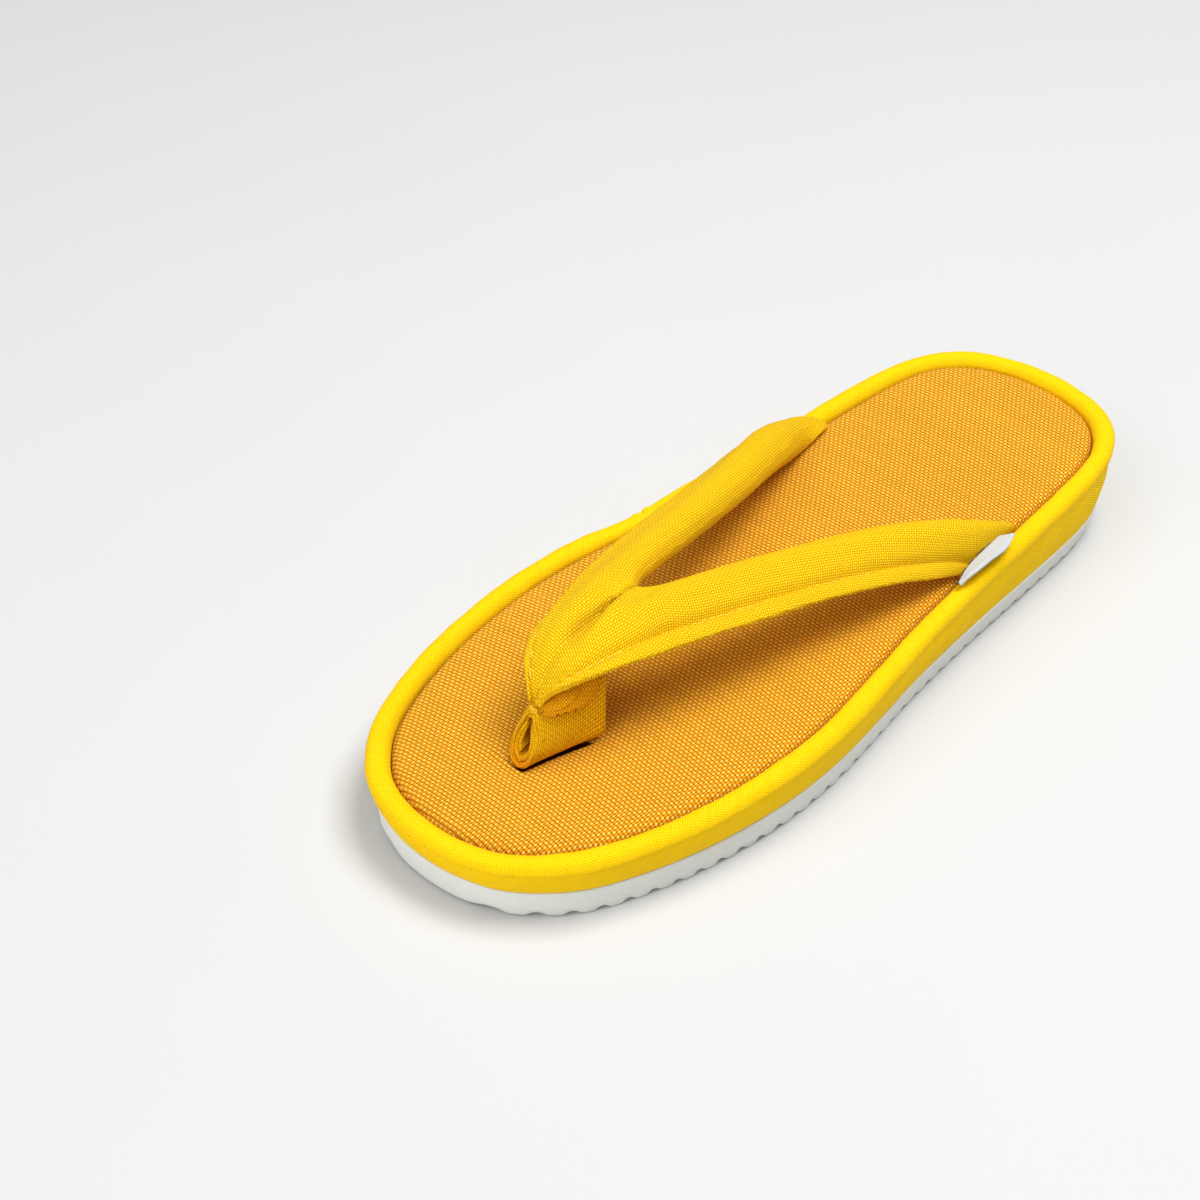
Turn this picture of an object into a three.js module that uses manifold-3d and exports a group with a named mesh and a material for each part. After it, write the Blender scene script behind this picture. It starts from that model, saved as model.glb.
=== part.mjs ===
// Zori sandal, left foot: ribbed foam outsole, canvas wrapped wedge midsole with a
// rounded rim, padded insole, padded V strap, folded toe post and a blank tape tab.
// Millimetres. +Z up, toe towards -Y, heel towards +Y, outer (lateral) side +X.
import * as THREE from 'three';
import { mergeVertices } from 'three/addons/utils/BufferGeometryUtils.js';
import Module from 'manifold-3d';

const wasm = await Module();
wasm.setup();

// ---------------------------------------------------------------- driving sizes
const SOLE_LENGTH = 250;
const GAP = 0.3;                 // clearance between neighbouring pieces
const OUTSOLE_TOP = 8.2;         // thickness of the ribbed foam sheet
const TOE_SPRING = 0.5;          // lift of the tread at the very toe
const HEEL_LIFT = 0.4;           // lift of the tread at the very heel
const RIB_PITCH = 6.25;          // tread ribs, front to back
const RIB_CREST = 3.5;           // flat top of a rib
const RIB_SLOPE = 0.75;          // run of a rib flank
const RIB_DEPTH = 0.9;           // groove depth between ribs
const OUTLINE_POINTS = 96;       // points round the sole
const STRAP_STATIONS = 34;       // sections along one strap arm
const FLANGE_WIDTH = 4.6;        // flat stitched seam along the strap's outer side
const FLANGE_HALF = 0.9;         // half its thickness
const POST_WALL = 1.5;           // folded canvas of the toe post
const POST_STEM = { length: 17, width: 2.0, depth: 7.5, y: -81 };

// Height of the seam between rim and insole, s from 0 at the toe to 1 at the heel.
const SEAM = { toe: 16.7, slope: 9.9, curve: 2.6 };
const seamHeight = (y) => {
  const s = (y + SOLE_LENGTH / 2) / SOLE_LENGTH;
  return SEAM.toe + SEAM.slope * s + SEAM.curve * s * s;
};

// Sole outline: half width at each station along the sole, the same on both sides.
const PLAN = [
  { y: -124.0, half: 10.5 },
  { y: -120.0, half: 22.0 },
  { y: -112.0, half: 31.8 },
  { y: -104.0, half: 37.9 },
  { y: -92.0, half: 43.3 },
  { y: -78.0, half: 47.6 },
  { y: -62.0, half: 50.6 },
  { y: -44.0, half: 52.1 },
  { y: -26.0, half: 51.3 },
  { y: -8.0, half: 48.7 },
  { y: 10.0, half: 45.8 },
  { y: 28.0, half: 43.7 },
  { y: 46.0, half: 42.1 },
  { y: 64.0, half: 40.8 },
  { y: 82.0, half: 39.4 },
  { y: 96.0, half: 37.7 },
  { y: 106.0, half: 34.9 },
  { y: 114.0, half: 29.8 },
  { y: 120.0, half: 22.4 },
  { y: 124.0, half: 10.8 },
];

// Wall and rim of the midsole, from its bottom edge over the rolled rim into the
// recess. inset is measured in from the outline; the height is foot (the bottom) plus
// share of the way up to the seam height, plus lift.
const RIM = [
  { name: 'foot', insetToe: 2.4, insetHeel: 3.1, share: 0.0, lift: 0.0 },
  { name: 'skirt', insetToe: 1.3, insetHeel: 2.2, share: 0.22, lift: 0.0 },
  { name: 'wall', insetToe: 0.55, insetHeel: 1.35, share: 0.48, lift: 0.0 },
  { name: 'shoulder', insetToe: 0.1, insetHeel: 0.5, share: 0.72, lift: 0.0 },
  { name: 'widest', insetToe: 0.0, insetHeel: 0.0, share: 1.0, lift: -0.8 },
  { name: 'roll_out', insetToe: 0.6, insetHeel: 0.6, share: 1.0, lift: 0.55 },
  { name: 'crown', insetToe: 2.7, insetHeel: 2.7, share: 1.0, lift: 1.55 },
  { name: 'roll_in', insetToe: 4.8, insetHeel: 4.8, share: 1.0, lift: 0.9 },
  { name: 'seam', insetToe: 5.8, insetHeel: 5.8, share: 1.0, lift: -0.5 },
  { name: 'floor', insetToe: 5.9, insetHeel: 5.9, share: 1.0, lift: -4.3 },
];

// Edge and crown of the padded insole. lift is measured from the seam height.
const PAD = [
  { inset: 6.6, lift: -4.0 },
  { inset: 6.2, lift: -3.2 },
  { inset: 6.2, lift: -1.2 },
  { inset: 6.8, lift: -0.4 },
  { inset: 8.4, lift: 0.1 },
  { inset: 12.0, lift: 0.35 },
  { inset: 20.0, lift: 0.5 },
];

// One strap arm, from the tip over the toe post to the end tucked into the seam.
// a* is the middle of the padded inner roll and roll its radius, f* is the outer edge
// of the flat stitched flange.
const ARM = [
  { ax: 0.5, ay: -84.4, az: 32.6, fx: 1.6, fy: -85.9, fz: 33.6, roll: 0.9 },
  { ax: 1.0, ay: -82.8, az: 35.4, fx: 3.2, fy: -84.9, fz: 36.4, roll: 1.9 },
  { ax: 1.6, ay: -80.3, az: 38.6, fx: 6.2, fy: -82.7, fz: 39.4, roll: 2.7 },
  { ax: 2.3, ay: -76.8, az: 41.6, fx: 9.6, fy: -79.0, fz: 41.6, roll: 3.4 },
  { ax: 3.0, ay: -72.2, az: 43.8, fx: 12.8, fy: -74.3, fz: 43.4, roll: 3.9 },
  { ax: 3.9, ay: -66.5, az: 45.3, fx: 15.3, fy: -68.4, fz: 44.1, roll: 4.25 },
  { ax: 5.2, ay: -59.0, az: 46.3, fx: 17.3, fy: -61.0, fz: 43.8, roll: 4.5 },
  { ax: 6.9, ay: -51.0, az: 46.5, fx: 19.2, fy: -53.0, fz: 43.2, roll: 4.6 },
  { ax: 10.3, ay: -34.6, az: 45.0, fx: 23.2, fy: -36.8, fz: 41.7, roll: 4.6 },
  { ax: 14.8, ay: -15.5, az: 42.6, fx: 27.4, fy: -18.3, fz: 39.8, roll: 4.6 },
  { ax: 19.9, ay: 5.0, az: 39.9, fx: 32.0, fy: 1.6, fz: 36.3, roll: 4.6 },
  { ax: 23.8, ay: 17.8, az: 37.9, fx: 34.5, fy: 14.2, fz: 33.1, roll: 4.6 },
  { ax: 27.3, ay: 29.4, az: 35.4, fx: 35.8, fy: 22.4, fz: 30.0, roll: 4.5 },
  { ax: 30.3, ay: 39.3, az: 32.9, fx: 36.2, fy: 28.8, fz: 27.5, roll: 4.3 },
  { ax: 32.4, ay: 47.0, az: 30.7, fx: 36.4, fy: 32.6, fz: 25.9, roll: 3.9 },
  { ax: 33.5, ay: 54.0, az: 28.7, fx: 36.3, fy: 34.8, fz: 24.9, roll: 2.9 },
  { ax: 33.8, ay: 59.0, az: 26.6, fx: 35.9, fy: 35.9, fz: 23.2, roll: 1.6 },
  { ax: 33.6, ay: 61.2, az: 24.4, fx: 35.7, fy: 36.2, fz: 21.9, roll: 1.1 },
  { ax: 33.5, ay: 61.6, az: 22.1, fx: 35.6, fy: 36.4, fz: 20.8, roll: 1.1 },
];

// Section of the padded arm. across is 0 at the roll's middle, -1 at its inner edge, and
// 1 at the inner line of the flange; up and down are shares of the roll radius.
const SECTION = [
  { across: -1.0, up: 0.0, down: 0.0 },
  { across: -0.85, up: 0.52, down: 0.45 },
  { across: -0.45, up: 0.88, down: 0.74 },
  { across: 0.1, up: 1.0, down: 0.82 },
  { across: 0.45, up: 0.82, down: 0.66 },
  { across: 0.8, up: 0.5, down: 0.42 },
];

// Folded toe post: a loop of canvas lying front to back, open at both ends. half is
// half the width at its widest; the loop leans, so its top and foot have their own y.
const POST = [
  { yFoot: -91.6, yTop: -86.4, zFoot: 18.9, zTop: 32.2, half: 3.9, square: 0.0 },
  { yFoot: -82.0, yTop: -78.6, zFoot: 19.3, zTop: 37.6, half: 6.4, square: 0.5 },
  { yFoot: -70.8, yTop: -69.6, zFoot: 19.85, zTop: 42.5, half: 8.9, square: 1.0 },
];

// Width of the loop up its height: an almond at the front, squarer at the back.
const LOOP = [
  { rise: 0.0, almond: 0.3, square: 0.84 },
  { rise: 0.06, almond: 0.66, square: 0.98 },
  { rise: 0.25, almond: 0.95, square: 1.0 },
  { rise: 0.5, almond: 0.95, square: 0.98 },
  { rise: 0.78, almond: 0.66, square: 0.92 },
  { rise: 1.0, almond: 0.24, square: 0.8 },
];

// Folded tape tab sewn in beside the outer strap end: its inner and outer long edges.
const TAB = [
  { ix: 38.9, iy: 32.6, iz: 26.6, ox: 40.4, oy: 29.6, oz: 27.3 },
  { ix: 38.6, iy: 39.5, iz: 27.9, ox: 42.6, oy: 38.2, oz: 28.9 },
  { ix: 38.2, iy: 45.5, iz: 28.9, ox: 42.6, oy: 46.6, oz: 30.0 },
  { ix: 37.5, iy: 50.4, iz: 29.6, ox: 40.2, oy: 52.8, oz: 30.1 },
];
const TAB_THICK = 1.1;

// ---------------------------------------------------------------- helpers
const lerp = (a, b, t) => a + (b - a) * t;
const wide = (y) => (y + SOLE_LENGTH / 2) / SOLE_LENGTH;      // 0 toe, 1 heel

// A smooth row between the rows of a table, t from 0 to 1.
function row(table, t) {
  const n = table.length - 1;
  const i = Math.min(Math.floor(t * n), n - 1);
  const f = t * n - i;
  const at = (k) => table[Math.max(0, Math.min(n, k))];
  const out = {};
  for (const key of Object.keys(table[0])) {
    if (typeof table[0][key] !== 'number') continue;
    const [p0, p1, p2, p3] = [at(i - 1)[key], at(i)[key], at(i + 1)[key], at(i + 2)[key]];
    out[key] = 0.5 * (2 * p1 + (p2 - p0) * f + (2 * p0 - 5 * p1 + 4 * p2 - p3) * f * f
      + (3 * p1 - p0 - 3 * p2 + p3) * f * f * f);
  }
  return out;
}

// Closed body from triangles, with its faces turned outwards.
function body(points, triangles) {
  const g = new THREE.BufferGeometry();
  g.setAttribute('position', new THREE.Float32BufferAttribute(points.flatMap((p) => [p.x, p.y, p.z]), 3));
  let volume = 0;
  for (const [a, b, c] of triangles) {
    volume += points[a].dot(new THREE.Vector3().crossVectors(points[b], points[c]));
  }
  g.setIndex(triangles.flatMap(([a, b, c]) => (volume > 0 ? [a, b, c] : [a, c, b])));
  g.computeVertexNormals();
  return g;
}

// Skin over rings of points; each end is closed by a strip between the ring's two
// halves, which share point 0 (odd = 0) or have a mate for every point (odd = 1).
function loft(rings, odd) {
  const n = rings[0].length;
  const points = rings.flat();
  const triangles = [];
  for (let r = 0; r + 1 < rings.length; r++) {
    for (let i = 0; i < n; i++) {
      const j = (i + 1) % n;
      const [a, b, c, d] = [r * n + i, r * n + j, (r + 1) * n + j, (r + 1) * n + i];
      triangles.push([a, b, c], [a, c, d]);
    }
  }
  const mate = (i) => (n - odd - i) % n;
  for (const [base, turn] of [[0, 1], [(rings.length - 1) * n, 0]]) {
    for (let i = 0; i < n / 2; i++) {
      const quad = [i, i + 1, mate(i + 1), mate(i)].map((k) => base + k);
      for (const t of [[quad[0], quad[1], quad[2]], [quad[0], quad[2], quad[3]]]) {
        if (new Set(t).size < 3) continue;
        triangles.push(turn ? [t[0], t[2], t[1]] : t);
      }
    }
  }
  return body(points, triangles.filter((t) => new Set(t).size === 3));
}

// Joining and cutting.
function solid(geometry) {
  const g = geometry.clone();
  for (const name of Object.keys(g.attributes)) if (name !== 'position') g.deleteAttribute(name);
  const merged = mergeVertices(g, 1e-4);
  return new wasm.Manifold(new wasm.Mesh({
    numProp: 3,
    vertProperties: new Float32Array(merged.attributes.position.array),
    triVerts: new Uint32Array(merged.index.array),
  }));
}
function geometryOf(manifold) {
  const m = manifold.getMesh();
  const g = new THREE.BufferGeometry();
  g.setAttribute('position', new THREE.Float32BufferAttribute(new Float32Array(m.vertProperties), 3));
  g.setIndex(Array.from(m.triVerts));
  g.computeVertexNormals();
  return g;
}
const boxAt = (sx, sy, sz, x, y, z) => new THREE.BoxGeometry(sx, sy, sz).translate(x, y, z);
const mirrored = (geometry) => {
  const g = geometry.clone().scale(-1, 1, 1);
  const index = Array.from(g.index.array);
  for (let k = 0; k < index.length; k += 3) [index[k + 1], index[k + 2]] = [index[k + 2], index[k + 1]];
  g.setIndex(index);
  return g;
};

// ---------------------------------------------------------------- sole outline
const half = SOLE_LENGTH / 2;
const outer = PLAN.map((p) => new THREE.Vector3(p.half, p.y, 0));
const inner = PLAN.map((p) => new THREE.Vector3(-p.half, p.y, 0)).reverse();
const outlineCurve = new THREE.CatmullRomCurve3(
  [new THREE.Vector3(0, -half, 0), ...outer, new THREE.Vector3(0, half, 0), ...inner], true, 'centripetal');
outlineCurve.arcLengthDivisions = 4000;

// Points round the sole, from the toe along the outer side, moved in by inset(y).
function outline(count, inset) {
  const side = [];
  for (let i = 0; i <= count / 2; i++) {
    const u = i / count;
    const p = outlineCurve.getPointAt(u);
    const t = outlineCurve.getTangentAt(u);
    const d = inset(p.y);
    const end = i === 0 || i === count / 2;
    side.push(end ? new THREE.Vector3(0, p.y - Math.sign(p.y) * d, 0)
      : new THREE.Vector3(p.x - t.y * d, p.y + t.x * d, 0));
  }
  const back = side.slice(1, -1).reverse().map((p) => new THREE.Vector3(-p.x, p.y, 0));
  return [...side, ...back];
}
// Half width of the inset outline at y.
function halfWidth(y, inset) {
  const side = outline(800, () => inset).slice(0, 401);
  for (let i = 1; i < side.length; i++) {
    if (side[i].y >= y) {
      const f = (y - side[i - 1].y) / (side[i].y - side[i - 1].y || 1);
      return lerp(side[i - 1].x, side[i].x, f);
    }
  }
  return 0;
}

// ---------------------------------------------------------------- outsole
// Sections across the sole, one at every bend of the ribbed tread.
function outsole() {
  const low = { inset: (s) => lerp(2.9, 5.0, s) };
  const high = { inset: (s) => lerp(2.0, 2.7, s) };
  const side = (f) => outline(1200, (y) => f(wide(y))).slice(0, 601);
  const sides = { low: side(low.inset), high: side(high.inset) };
  const widthAt = (line, y) => {
    let i = line.findIndex((p) => p.y >= y);
    if (i < 1) i = y < 0 ? 1 : line.length - 1;
    const f = (y - line[i - 1].y) / (line[i].y - line[i - 1].y || 1);
    return lerp(line[i - 1].x, line[i].x, Math.max(0, Math.min(1, f)));
  };
  const spring = (y) => {
    const toe = Math.max(0, (-98 - y) / 24);
    const heel = Math.max(0, (y - 108) / 12);
    return TOE_SPRING * toe * toe + HEEL_LIFT * heel * heel;
  };
  const from = sides.low[0].y;
  const to = sides.low[600].y;
  const stops = [];
  for (const d of [0.06, 0.5, 1.4]) stops.push({ y: from + d, z: 0 }, { y: to - d, z: 0 });
  for (let y = -half + RIB_PITCH / 2; y < half; y += RIB_PITCH) {
    const flat = RIB_CREST / 2;
    const groove = RIB_PITCH / 2 - flat - RIB_SLOPE;
    const bend = [
      [-flat - RIB_SLOPE - groove * 0.98, RIB_DEPTH], [-flat - RIB_SLOPE, RIB_DEPTH], [-flat, 0],
      [flat, 0], [flat + RIB_SLOPE, RIB_DEPTH],
    ];
    for (const [dy, z] of bend) {
      if (y + dy > from + 2.2 && y + dy < to - 2.2) stops.push({ y: y + dy, z });
    }
  }
  stops.sort((a, b) => a.y - b.y);
  const rings = stops.map(({ y, z }) => {
    const u = (y - from) / (to - from);
    const yh = lerp(sides.high[0].y, sides.high[600].y, u);
    const wl = widthAt(sides.low, y);
    const wh = widthAt(sides.high, yh);
    const zl = z + spring(y);
    const ym = lerp(y, yh, 0.55);
    const wm = lerp(wl, wh, 0.62);
    return [
      new THREE.Vector3(wl, y, zl), new THREE.Vector3(wm, ym, 4.2), new THREE.Vector3(wh, yh, OUTSOLE_TOP),
      new THREE.Vector3(-wh, yh, OUTSOLE_TOP), new THREE.Vector3(-wm, ym, 4.2), new THREE.Vector3(-wl, y, zl),
    ];
  });
  return loft(rings, 1);
}

// ---------------------------------------------------------------- midsole
const FOOT = OUTSOLE_TOP + GAP;
function midsole() {
  const rings = RIM.map((r) => {
    const ring = outline(OUTLINE_POINTS, (y) => lerp(r.insetToe, r.insetHeel, wide(y)));
    for (const p of ring) p.z = FOOT + r.share * (seamHeight(p.y) - FOOT) + r.lift;
    return ring;
  });
  const slot = boxAt(POST_STEM.width + 2 * GAP + 0.2, POST_STEM.length + 1, 12, 0, POST_STEM.y, 16.8);
  return geometryOf(solid(loft(rings, 0)).subtract(solid(slot)));
}

// ---------------------------------------------------------------- insole
function insole() {
  const rings = PAD.map((r) => {
    const ring = outline(OUTLINE_POINTS, () => r.inset);
    for (const p of ring) p.z = seamHeight(p.y) + r.lift;
    return ring;
  });
  const slit = boxAt(POST_STEM.width + 2 * GAP + 0.2, POST_STEM.length + 1, 30, 0, POST_STEM.y, 20);
  // notches at the edge where the strap ends go down into the seam
  const notch = [];
  for (const y of [34.0, 41, 49, 57, 63.1]) {
    const x = halfWidth(y, 9.3);
    notch.push([new THREE.Vector3(x, y, 5), new THREE.Vector3(60, y, 5),
      new THREE.Vector3(60, y, 45), new THREE.Vector3(x, y, 45)]);
  }
  const cut = loft(notch, 1);
  return geometryOf(solid(loft(rings, 0)).subtract(solid(slit)).subtract(solid(cut)).subtract(solid(mirrored(cut))));
}

// ---------------------------------------------------------------- strap
function arm() {
  const stations = [];
  for (let i = 0; i < STRAP_STATIONS; i++) {
    const r = row(ARM, i / (STRAP_STATIONS - 1));
    stations.push({ a: new THREE.Vector3(r.ax, r.ay, r.az), f: new THREE.Vector3(r.fx, r.fy, r.fz), roll: r.roll });
  }
  const middle = stations.map((s) => s.a.clone().lerp(s.f, 0.4));
  const rings = stations.map((s, i) => {
    const last = stations.length - 1;
    const along = middle[Math.min(last, i + 1)].clone().sub(middle[Math.max(0, i - 1)]).normalize();
    const across = s.f.clone().sub(s.a);
    const width = across.length();
    across.normalize();
    const up = new THREE.Vector3().crossVectors(across, along).normalize();
    const flange = Math.min(FLANGE_WIDTH, width * 0.36);
    const seam = width - flange;
    const edge = Math.min(FLANGE_HALF, s.roll);
    const at = (u, v) => s.a.clone().addScaledVector(across, u).addScaledVector(up, v);
    const top = [];
    const bottom = [];
    for (const k of SECTION) {
      const u = k.across < 0 ? k.across * s.roll : k.across * seam;
      const tuck = k.across < 0.3 ? 0 : (k.across - 0.3) / 0.7;
      top.push(at(u, Math.max(k.up * s.roll, k.up > 0 ? edge * tuck : 0)));
      if (k.across > -1) bottom.push(at(u, -Math.max(k.down * s.roll, edge * tuck)));
    }
    top.push(at(seam, edge), at(width, edge));
    bottom.push(at(seam, -edge), at(width, -edge));
    return [...top, ...bottom.reverse()];
  });
  return strip(rings);
}
// Skin over sections whose point 0 is the inner edge; ends closed between top and bottom.
function strip(rings) {
  const n = rings[0].length;
  const points = rings.flat();
  const triangles = [];
  for (let r = 0; r + 1 < rings.length; r++) {
    for (let i = 0; i < n; i++) {
      const j = (i + 1) % n;
      triangles.push([r * n + i, r * n + j, (r + 1) * n + j], [r * n + i, (r + 1) * n + j, (r + 1) * n + i]);
    }
  }
  for (const [base, flip] of [[0, true], [(rings.length - 1) * n, false]]) {
    for (let i = 0; i < (n - 1) / 2; i++) {
      const [a, b, c, d] = [i, i + 1, n - 1 - i, (n - i) % n].map((k) => base + k);
      for (const t of [[a, b, c], [a, c, d]]) {
        if (new Set(t).size === 3) triangles.push(flip ? [t[0], t[2], t[1]] : t);
      }
    }
  }
  return body(points, triangles);
}
const armSolid = solid(arm());
const strapSolid = armSolid.add(solid(mirrored(arm())));

// ---------------------------------------------------------------- toe post
function loopRing(t, shrink) {
  const p = row(POST, t);
  const rise = p.zTop - p.zFoot;
  const side = LOOP.map((k) => {
    const f = k.rise + (0.5 - k.rise) * 2 * (shrink / rise);
    const w = Math.max(0.35, p.half * lerp(k.almond, k.square, p.square) - shrink);
    return { x: w, y: lerp(p.yFoot, p.yTop, f), z: p.zFoot + f * rise };
  });
  return [
    ...side.map((q) => new THREE.Vector3(q.x, q.y, q.z)),
    ...side.slice().reverse().map((q) => new THREE.Vector3(-q.x, q.y, q.z)),
  ];
}
function toePost() {
  const steps = 6;
  const shell = [];
  const hollow = [];
  for (let i = 0; i <= steps; i++) shell.push(loopRing(i / steps, 0));
  for (let i = 0; i <= steps; i++) {
    const ring = loopRing(i / steps, POST_WALL);
    if (i === 0) hollow.push(ring.map((p) => p.clone().setY(p.y - 2)));
    else if (i === steps) hollow.push(ring.map((p) => p.clone().setY(p.y + 2)));
    else hollow.push(ring);
  }
  const zFoot = POST[1].zFoot;
  const stem = boxAt(POST_STEM.width, POST_STEM.length, POST_STEM.depth,
    0, POST_STEM.y, zFoot + 1 - POST_STEM.depth / 2);
  let post = solid(loft(shell, 1)).subtract(solid(loft(hollow, 1))).add(solid(stem));
  // the strap lies on the post: clear it all round
  for (const dz of [0, -GAP - 0.05]) post = post.subtract(strapSolid.translate([0, 0, dz]));
  for (const dy of [-GAP, GAP]) post = post.subtract(strapSolid.translate([0, dy, -0.1]));
  const pieces = post.decompose().sort((a, b) => b.volume() - a.volume());
  return geometryOf(pieces[0]);
}

// ---------------------------------------------------------------- tape tab
function sideTab() {
  const rings = TAB.map((r) => {
    const i = new THREE.Vector3(r.ix, r.iy, r.iz);
    const o = new THREE.Vector3(r.ox, r.oy, r.oz);
    const up = new THREE.Vector3(0, -0.15, 1).normalize().multiplyScalar(TAB_THICK / 2);
    return [i.clone().add(up), o.clone().add(up), o.clone().sub(up), i.clone().sub(up)];
  });
  return loft(rings, 1);
}

// ---------------------------------------------------------------- assembly
const group = new THREE.Group();
function add(name, geometry, color, roughness) {
  const mesh = new THREE.Mesh(geometry, new THREE.MeshStandardMaterial({ color, roughness, metalness: 0 }));
  mesh.name = name;
  group.add(mesh);
}
add('outsole', outsole(), 0xc4c5c0, 0.7);
add('midsole', midsole(), 0xf0cc2a, 0.85);
add('insole', insole(), 0xe4a030, 0.9);
add('strap', geometryOf(strapSolid), 0xf3d02a, 0.85);
add('toe_post', toePost(), 0xdca51c, 0.85);
add('side_tab', sideTab(), 0xe8e8e6, 0.8);

export default group;
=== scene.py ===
import math  # noqa: E402

import bmesh  # noqa: E402
import bpy  # noqa: E402
import numpy as np  # noqa: E402
from mathutils import Matrix, Vector  # noqa: E402


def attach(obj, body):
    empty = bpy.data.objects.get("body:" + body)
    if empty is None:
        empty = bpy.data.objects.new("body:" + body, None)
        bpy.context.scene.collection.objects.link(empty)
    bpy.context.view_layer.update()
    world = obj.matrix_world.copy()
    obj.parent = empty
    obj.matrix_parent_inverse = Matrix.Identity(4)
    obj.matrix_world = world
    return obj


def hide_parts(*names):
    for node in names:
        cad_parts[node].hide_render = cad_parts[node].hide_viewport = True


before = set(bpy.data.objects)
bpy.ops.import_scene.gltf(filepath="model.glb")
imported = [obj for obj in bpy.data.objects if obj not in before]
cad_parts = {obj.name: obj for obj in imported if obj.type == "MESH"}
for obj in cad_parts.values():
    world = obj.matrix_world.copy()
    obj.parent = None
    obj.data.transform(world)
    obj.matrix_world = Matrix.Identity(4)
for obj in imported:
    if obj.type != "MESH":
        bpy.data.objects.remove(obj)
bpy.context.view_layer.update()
MM = 0.001

# ------------------------------------------------------------------ sizes, as in the part
SOLE_LENGTH = 250.0
OUTSOLE_TOP = 8.2
TOE_SPRING, HEEL_LIFT = 0.5, 0.4
RIB_PITCH, RIB_CREST, RIB_SLOPE, RIB_DEPTH = 6.25, 3.5, 0.75, 0.9
FLANGE_WIDTH, FLANGE_HALF = 4.6, 0.9
STITCH_PITCH, STITCH_LENGTH = 2.7, 1.95
SEAM = {"toe": 16.7, "slope": 9.9, "curve": 2.6}

PLAN = [  # y, half width
    (-124, 10.5), (-120, 22.0), (-112, 31.8), (-104, 37.9), (-92, 43.3), (-78, 47.6),
    (-62, 50.6), (-44, 52.1), (-26, 51.3), (-8, 48.7), (10, 45.8), (28, 43.7),
    (46, 42.1), (64, 40.8), (82, 39.4), (96, 37.7), (106, 34.9), (114, 29.8),
    (120, 22.4), (124, 10.8),
]
RIM = [  # insetToe, insetHeel, share, lift
    (2.4, 3.1, 0.0, 0.0),       # foot
    (1.3, 2.2, 0.22, 0.0),      # skirt
    (0.55, 1.35, 0.48, 0.0),    # wall
    (0.1, 0.5, 0.72, 0.0),      # shoulder
    (0.0, 0.0, 1.0, -0.8),      # widest
    (0.6, 0.6, 1.0, 0.55),      # roll_out
    (2.7, 2.7, 1.0, 1.55),      # crown
    (4.8, 4.8, 1.0, 0.9),       # roll_in
    (5.8, 5.8, 1.0, -0.5),      # seam
    (5.9, 5.9, 1.0, -4.3),      # floor
]
PAD = [  # inset, lift from the seam height
    (6.6, -4.0), (6.35, -3.2), (6.4, -1.5), (7.0, -0.55), (8.6, 0.1), (12.0, 0.35),
]
PAD_CROWN = 0.5
ARM = [  # ax, ay, az (roll), fx, fy, fz (flange edge), roll radius
    (0.5, -84.4, 32.6, 1.6, -85.9, 33.6, 0.9),
    (1.0, -82.8, 35.4, 3.2, -84.9, 36.4, 1.9),
    (1.6, -80.3, 38.6, 6.2, -82.7, 39.4, 2.7),
    (2.3, -76.8, 41.6, 9.6, -79.0, 41.6, 3.4),
    (3.0, -72.2, 43.8, 12.8, -74.3, 43.4, 3.9),
    (3.9, -66.5, 45.3, 15.3, -68.4, 44.1, 4.25),
    (5.2, -59.0, 46.3, 17.3, -61.0, 43.8, 4.5),
    (6.9, -51.0, 46.5, 19.2, -53.0, 43.2, 4.6),
    (10.3, -34.6, 45.0, 23.2, -36.8, 41.7, 4.6),
    (14.8, -15.5, 42.6, 27.4, -18.3, 39.8, 4.6),
    (19.9, 5.0, 39.9, 32.0, 1.6, 36.3, 4.6),
    (23.8, 17.8, 37.9, 34.5, 14.2, 33.1, 4.6),
    (27.3, 29.4, 35.4, 35.8, 22.4, 30.0, 4.5),
    (30.3, 39.3, 32.9, 36.2, 28.8, 27.5, 4.3),
    (32.4, 47.0, 30.7, 36.4, 32.6, 25.9, 3.9),
    (33.5, 54.0, 28.7, 36.3, 34.8, 24.9, 2.9),
    (33.8, 59.0, 26.6, 35.9, 35.9, 23.2, 1.6),
    (33.6, 61.2, 24.4, 35.7, 36.2, 21.9, 1.1),
    (33.5, 61.6, 22.1, 35.6, 36.4, 20.8, 1.1),
]
SECTION = [  # across, up, down
    (-1.0, 0.0, 0.0), (-0.85, 0.52, 0.45), (-0.45, 0.88, 0.74), (0.1, 1.0, 0.82),
    (0.45, 0.82, 0.66), (0.8, 0.5, 0.42),
]
POST = [  # yFoot, yTop, zFoot, zTop, half, square
    (-91.6, -86.4, 19.0, 32.2, 3.9, 0.0),
    (-82.0, -78.6, 19.6, 37.6, 6.4, 0.5),
    (-70.8, -69.6, 20.35, 42.5, 8.9, 1.0),
]
POST_LEAN = (0.9, -0.8)  # the foot of the worn-in loop sits a little to the outer side
LOOP = [  # rise, almond, square
    (0.0, 0.3, 0.84), (0.06, 0.66, 0.98), (0.25, 0.95, 1.0), (0.5, 0.95, 0.98),
    (0.78, 0.66, 0.92), (1.0, 0.24, 0.8),
]
TAB = [  # inner edge, outer edge
    (39.9, 30.0, 26.7, 40.7, 29.0, 27.2),
    (38.3, 35.2, 27.5, 42.2, 33.3, 29.2),
    (37.5, 41.0, 28.1, 42.4, 40.0, 29.8),
    (37.0, 46.5, 28.5, 41.9, 47.0, 30.0),
    (36.7, 51.0, 28.8, 40.2, 53.2, 29.7),
]


# ------------------------------------------------------------------ numbers
def smooth(a, b, x):
    t = np.clip((np.asarray(x, float) - a) / (b - a), 0, 1)
    return t * t * (3 - 2 * t)


def bump(x, middle, width):
    return np.exp(-(((np.asarray(x, float) - middle) / width) ** 2))


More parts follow.
